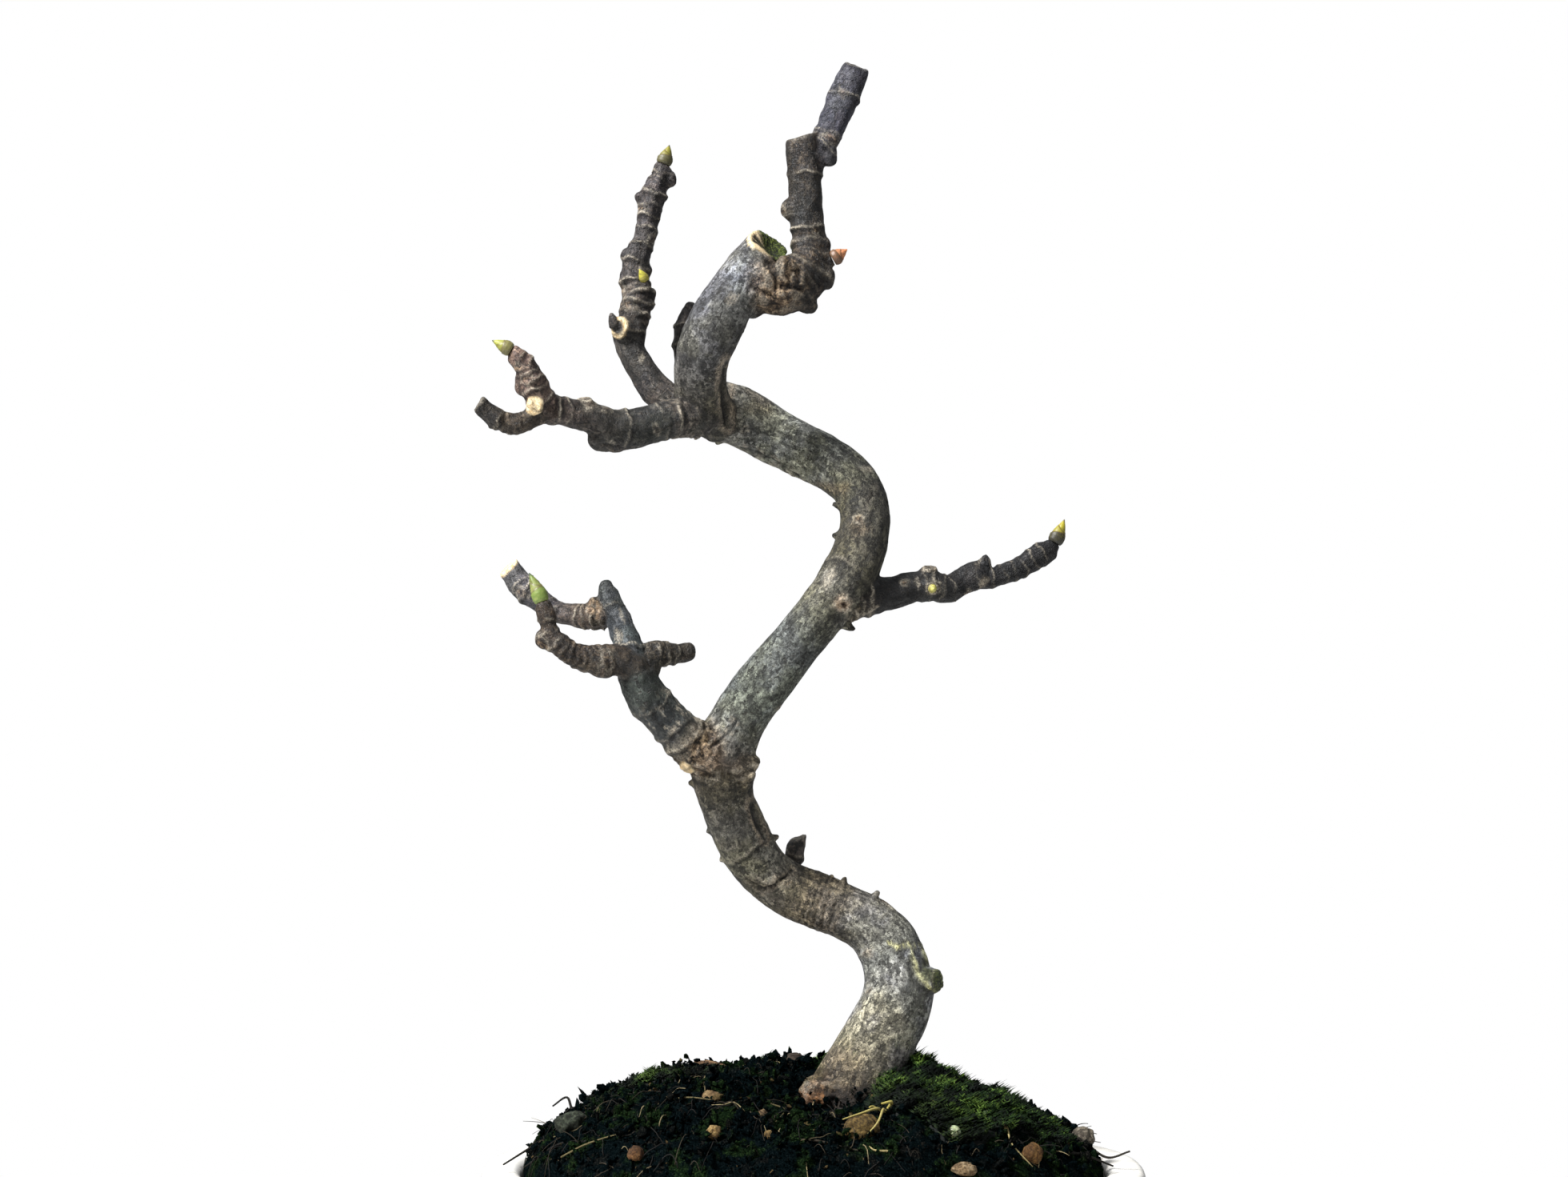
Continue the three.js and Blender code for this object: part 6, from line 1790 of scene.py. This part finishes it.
def rootlet_material():
    s = Surface("rootlet", 0.8)
    tint, _, yellow = s.values("grains")
    fine = s.noise(0.8, 3)
    dark = s.ramp(tint, (0.0, (10, 10, 9)), (0.6, (26, 24, 20)), (0.88, (58, 51, 39)),
                  (1.0, (150, 136, 100)))
    colour = s.laid(dark, s.ramp(fine, (0.35, (120, 104, 40)), (0.6, (206, 194, 104))), yellow)
    colour = s.laid(colour, (24, 19, 14), s.between(fine, 0.4, 0.65, 0.0, 0.5))
    return s.finish(colour, fine, 0.4, Specular_IOR_Level=0.2)


def moss_material():
    s = Surface("moss", 0.75)
    light, patch, shaded = s.values("moss")
    share = s.total((light, 0.5), (patch, 0.5), (s.maths("SUBTRACT", s.noise(4, 3), 0.5), 1.1))
    green = s.ramp(share, (0.22, (2, 5, 4)), (0.48, (9, 19, 11)), (0.68, (36, 62, 22)),
                   (0.92, (120, 150, 66)))
    colour = s.laid(green, (6, 11, 8), shaded, 0.9)
    return s.finish(colour, s.noise(0.5, 2), 0.3, Specular_IOR_Level=0.2)


def stone_material(name, base, light, dark):
    s = Surface(name, 0.82, 0.0005)
    fine = s.noise(1.1, 6, 0.7)
    colour = s.ramp(fine, (0.38, dark), (0.5, base), (0.64, light))
    colour = s.laid(colour, dark, s.between(s.noise(4.5, 3), 0.46, 0.62, 0.0, 0.75))
    colour = s.laid(colour, (20, 18, 14), s.between(s.noise(0.7, 3, 0.7), 0.5, 0.6, 0.0, 0.6))
    return s.finish(colour, fine, 1.0, Specular_IOR_Level=0.2)


def old_bark_material(name, base, light):
    s = Surface(name, 0.88, 0.0006)
    fibre = s.noise(1.2, 5, 0.7, s.scaled(s.place, (0.3, 1.6, 1.6)))
    colour = s.ramp(fibre, (0.34, (26, 18, 13)), (0.52, base), (0.68, light))
    colour = s.laid(colour, (32, 24, 18), s.between(s.noise(3.5, 3), 0.52, 0.7, 0.0, 0.7))
    return s.finish(colour, fibre, 1.0, Specular_IOR_Level=0.25)


def bead_material():
    s = Surface("bead", 0.35, 0.0002)
    fine = s.noise(0.7, 3)
    colour = s.ramp(fine, (0.35, (126, 136, 98)), (0.62, (172, 180, 142)))
    return s.finish(colour, fine, 0.2, Subsurface_Weight=0.15, Subsurface_Scale=0.0008)


def bud_material(name, low, high, outer, tip):
    s = Surface(name, 0.5, 0.0003)
    rise, lines, over = s.values("bud")
    fine = s.noise(0.8, 3)
    colour = s.laid(low, high, rise)
    colour = s.laid(colour, outer, over, s.between(fine, 0.3, 0.6, 0.5, 1.0))
    colour = s.laid(colour, (84, 78, 42), s.between(fine, 0.4, 0.7, 0.0, 0.2))
    colour = s.laid(colour, (66, 44, 26), lines, 0.7)
    colour = s.laid(colour, tip, s.between(rise, 0.84, 0.97))
    return s.finish(colour, fine, 0.3)


def glaze_material():
    s = Surface("glaze", 0.24, 0.0002)
    wide = s.noise(24, 4, 0.55)
    flow = s.noise(5, 3, 0.5, s.scaled(s.place, (1, 1, 0.35)))
    colour = s.ramp(wide, (0.35, (244, 238, 226)), (0.55, (250, 247, 240)), (0.7, (252, 250, 246)))
    colour = s.laid(colour, (240, 216, 196), s.between(flow, 0.54, 0.74, 0.0, 0.3))
    colour = s.laid(colour, (150, 116, 84), s.between(s.cells(5.5), 0.09, 0.03, 0.0, 0.7))
    height, roughness = s.maths("ADD", wide, s.product(flow, 0.3)), s.between(flow, 0.3, 0.7, 0.18, 0.34)
    return s.finish(colour, height, 0.25, roughness, Coat_Weight=0.4, Coat_Roughness=0.08)


def screen_material():
    s = Surface("screen", 0.55, 0.0004)
    wire, gap = node_colour((52, 54, 54)), node_colour((14, 15, 15))
    grid = s.add("TexBrick", {"Vector": s.place, "Scale": 1000.0, "Mortar Size": 0.45, "Brick Width": 1.8,
                              "Row Height": 1.8, "Color1": gap, "Color2": gap, "Mortar": wire}, offset=0.0)
    return s.finish(grid.outputs["Color"], grid.outputs["Fac"], 0.8)


def floor_material():
    s = Surface("floor", 0.7)
    far = s.add("VectorMath", {0: s.scaled(s.place, (0.5, 1, 1))}, operation="LENGTH").outputs["Value"]
    middle = s.ramp(s.noise(60, 2), (0.3, (170, 170, 169)), (0.7, (176, 176, 175)))
    return s.finish(s.laid(middle, (244, 244, 244), s.between(far, 0.12, 0.29)), Specular_IOR_Level=0.2)


def dress():
    """Every piece with its material."""
    tree_piece(bark_material())
    for name in BUDS:
        bud_piece(name)
    ground = soil_material()
    soil_piece(ground)
    crumb_piece("crumbs_coarse", 6400, 0.5, 1.9, 11, ground)
    crumb_piece("crumbs_fine", 9600, 0.3, 0.62, 12, ground)
    rootlet_piece(rootlet_material())
    moss = moss_material()
    for name in MOSS:
        moss_piece(name, moss)
    stone_pieces()
    wood_pieces()
    bead_pieces(bead_material())
    pot_piece(glaze_material())
    screen = screen_material()
    for side in ("left", "right"):
        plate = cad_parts[f"drain_screen_{side}"]
        plate.data.materials.clear()
        plate.data.materials.append(screen)


def floor_plate():
    """The pale floor, wide in front and short behind."""
    turn = np.linspace(0, 2 * np.pi, 96, endpoint=False)
    reach = np.where(turn < np.pi, 0.31, 0.62)
    outline = np.column_stack([0.62 * np.cos(turn), reach * np.sin(turn), 0 * turn])
    plate = bpy.data.meshes.new("floor")
    plate.from_pydata(outline.tolist(), [], [list(range(96))])
    floor = in_scene("floor", plate)
    floor.data.materials.append(floor_material())


def surroundings():
    """White to the eye, and a soft light that is stronger from above."""
    world = bpy.data.worlds.new("studio")
    world.use_nodes = True
    tree = world.node_tree
    tree.nodes.clear()
    ways = add_node(tree, "SeparateXYZ", {0: add_node(tree, "TexCoord").outputs["Generated"]})
    sky = add_node(tree, "MapRange", {"Value": ways.outputs["Z"], "From Min": -0.35, "From Max": 0.9,
                                      "To Min": GROUND_LIGHT, "To Max": SKY_LIGHT})
    light = add_node(tree, "Background", {"Color": (0.94, 0.97, 1, 1), "Strength": sky.outputs[0]})
    seen = add_node(tree, "Background", {"Color": (1, 1, 1, 1), "Strength": 1.0})
    path = add_node(tree, "LightPath")
    either = add_node(tree, "MixShader", {0: path.outputs["Is Camera Ray"], 1: light.outputs[0],
                                          2: seen.outputs[0]})
    add_node(tree, "OutputWorld", {0: either.outputs[0]})
    bpy.context.scene.world = world


def lamps():
    """A large soft light from above left and a faint one from the right."""
    for name, place, aim, size, power in LAMPS:
        lamp = bpy.data.lights.new(name, "AREA")
        lamp.shape = "DISK"
        lamp.size = size
        lamp.energy = power
        holder = in_scene(name, lamp)
        holder.location = place
        way = np.subtract(aim, place)
        tilt = math.acos(-way[2] / np.linalg.norm(way))
        holder.rotation_euler = (tilt, 0, math.atan2(way[1], way[0]) - math.pi / 2)


def camera():
    """The photo's view: level, from the front."""
    lens = bpy.data.cameras.new("camera")
    lens.sensor_width = SENSOR
    lens.lens = SENSOR * CAMERA_DISTANCE / PHOTO_WIDTH
    lens.clip_start = 0.01
    eye = in_scene("camera", lens)
    eye.location = (PHOTO_MIDDLE[0] * 0.001, -CAMERA_DISTANCE * 0.001, PHOTO_MIDDLE[1] * 0.001)
    eye.rotation_euler = (math.pi / 2, 0, 0)
    bpy.context.scene.camera = eye
    bpy.context.scene.view_settings.view_transform = "Standard"


floor_plate()
surroundings()
lamps()
camera()
dress()
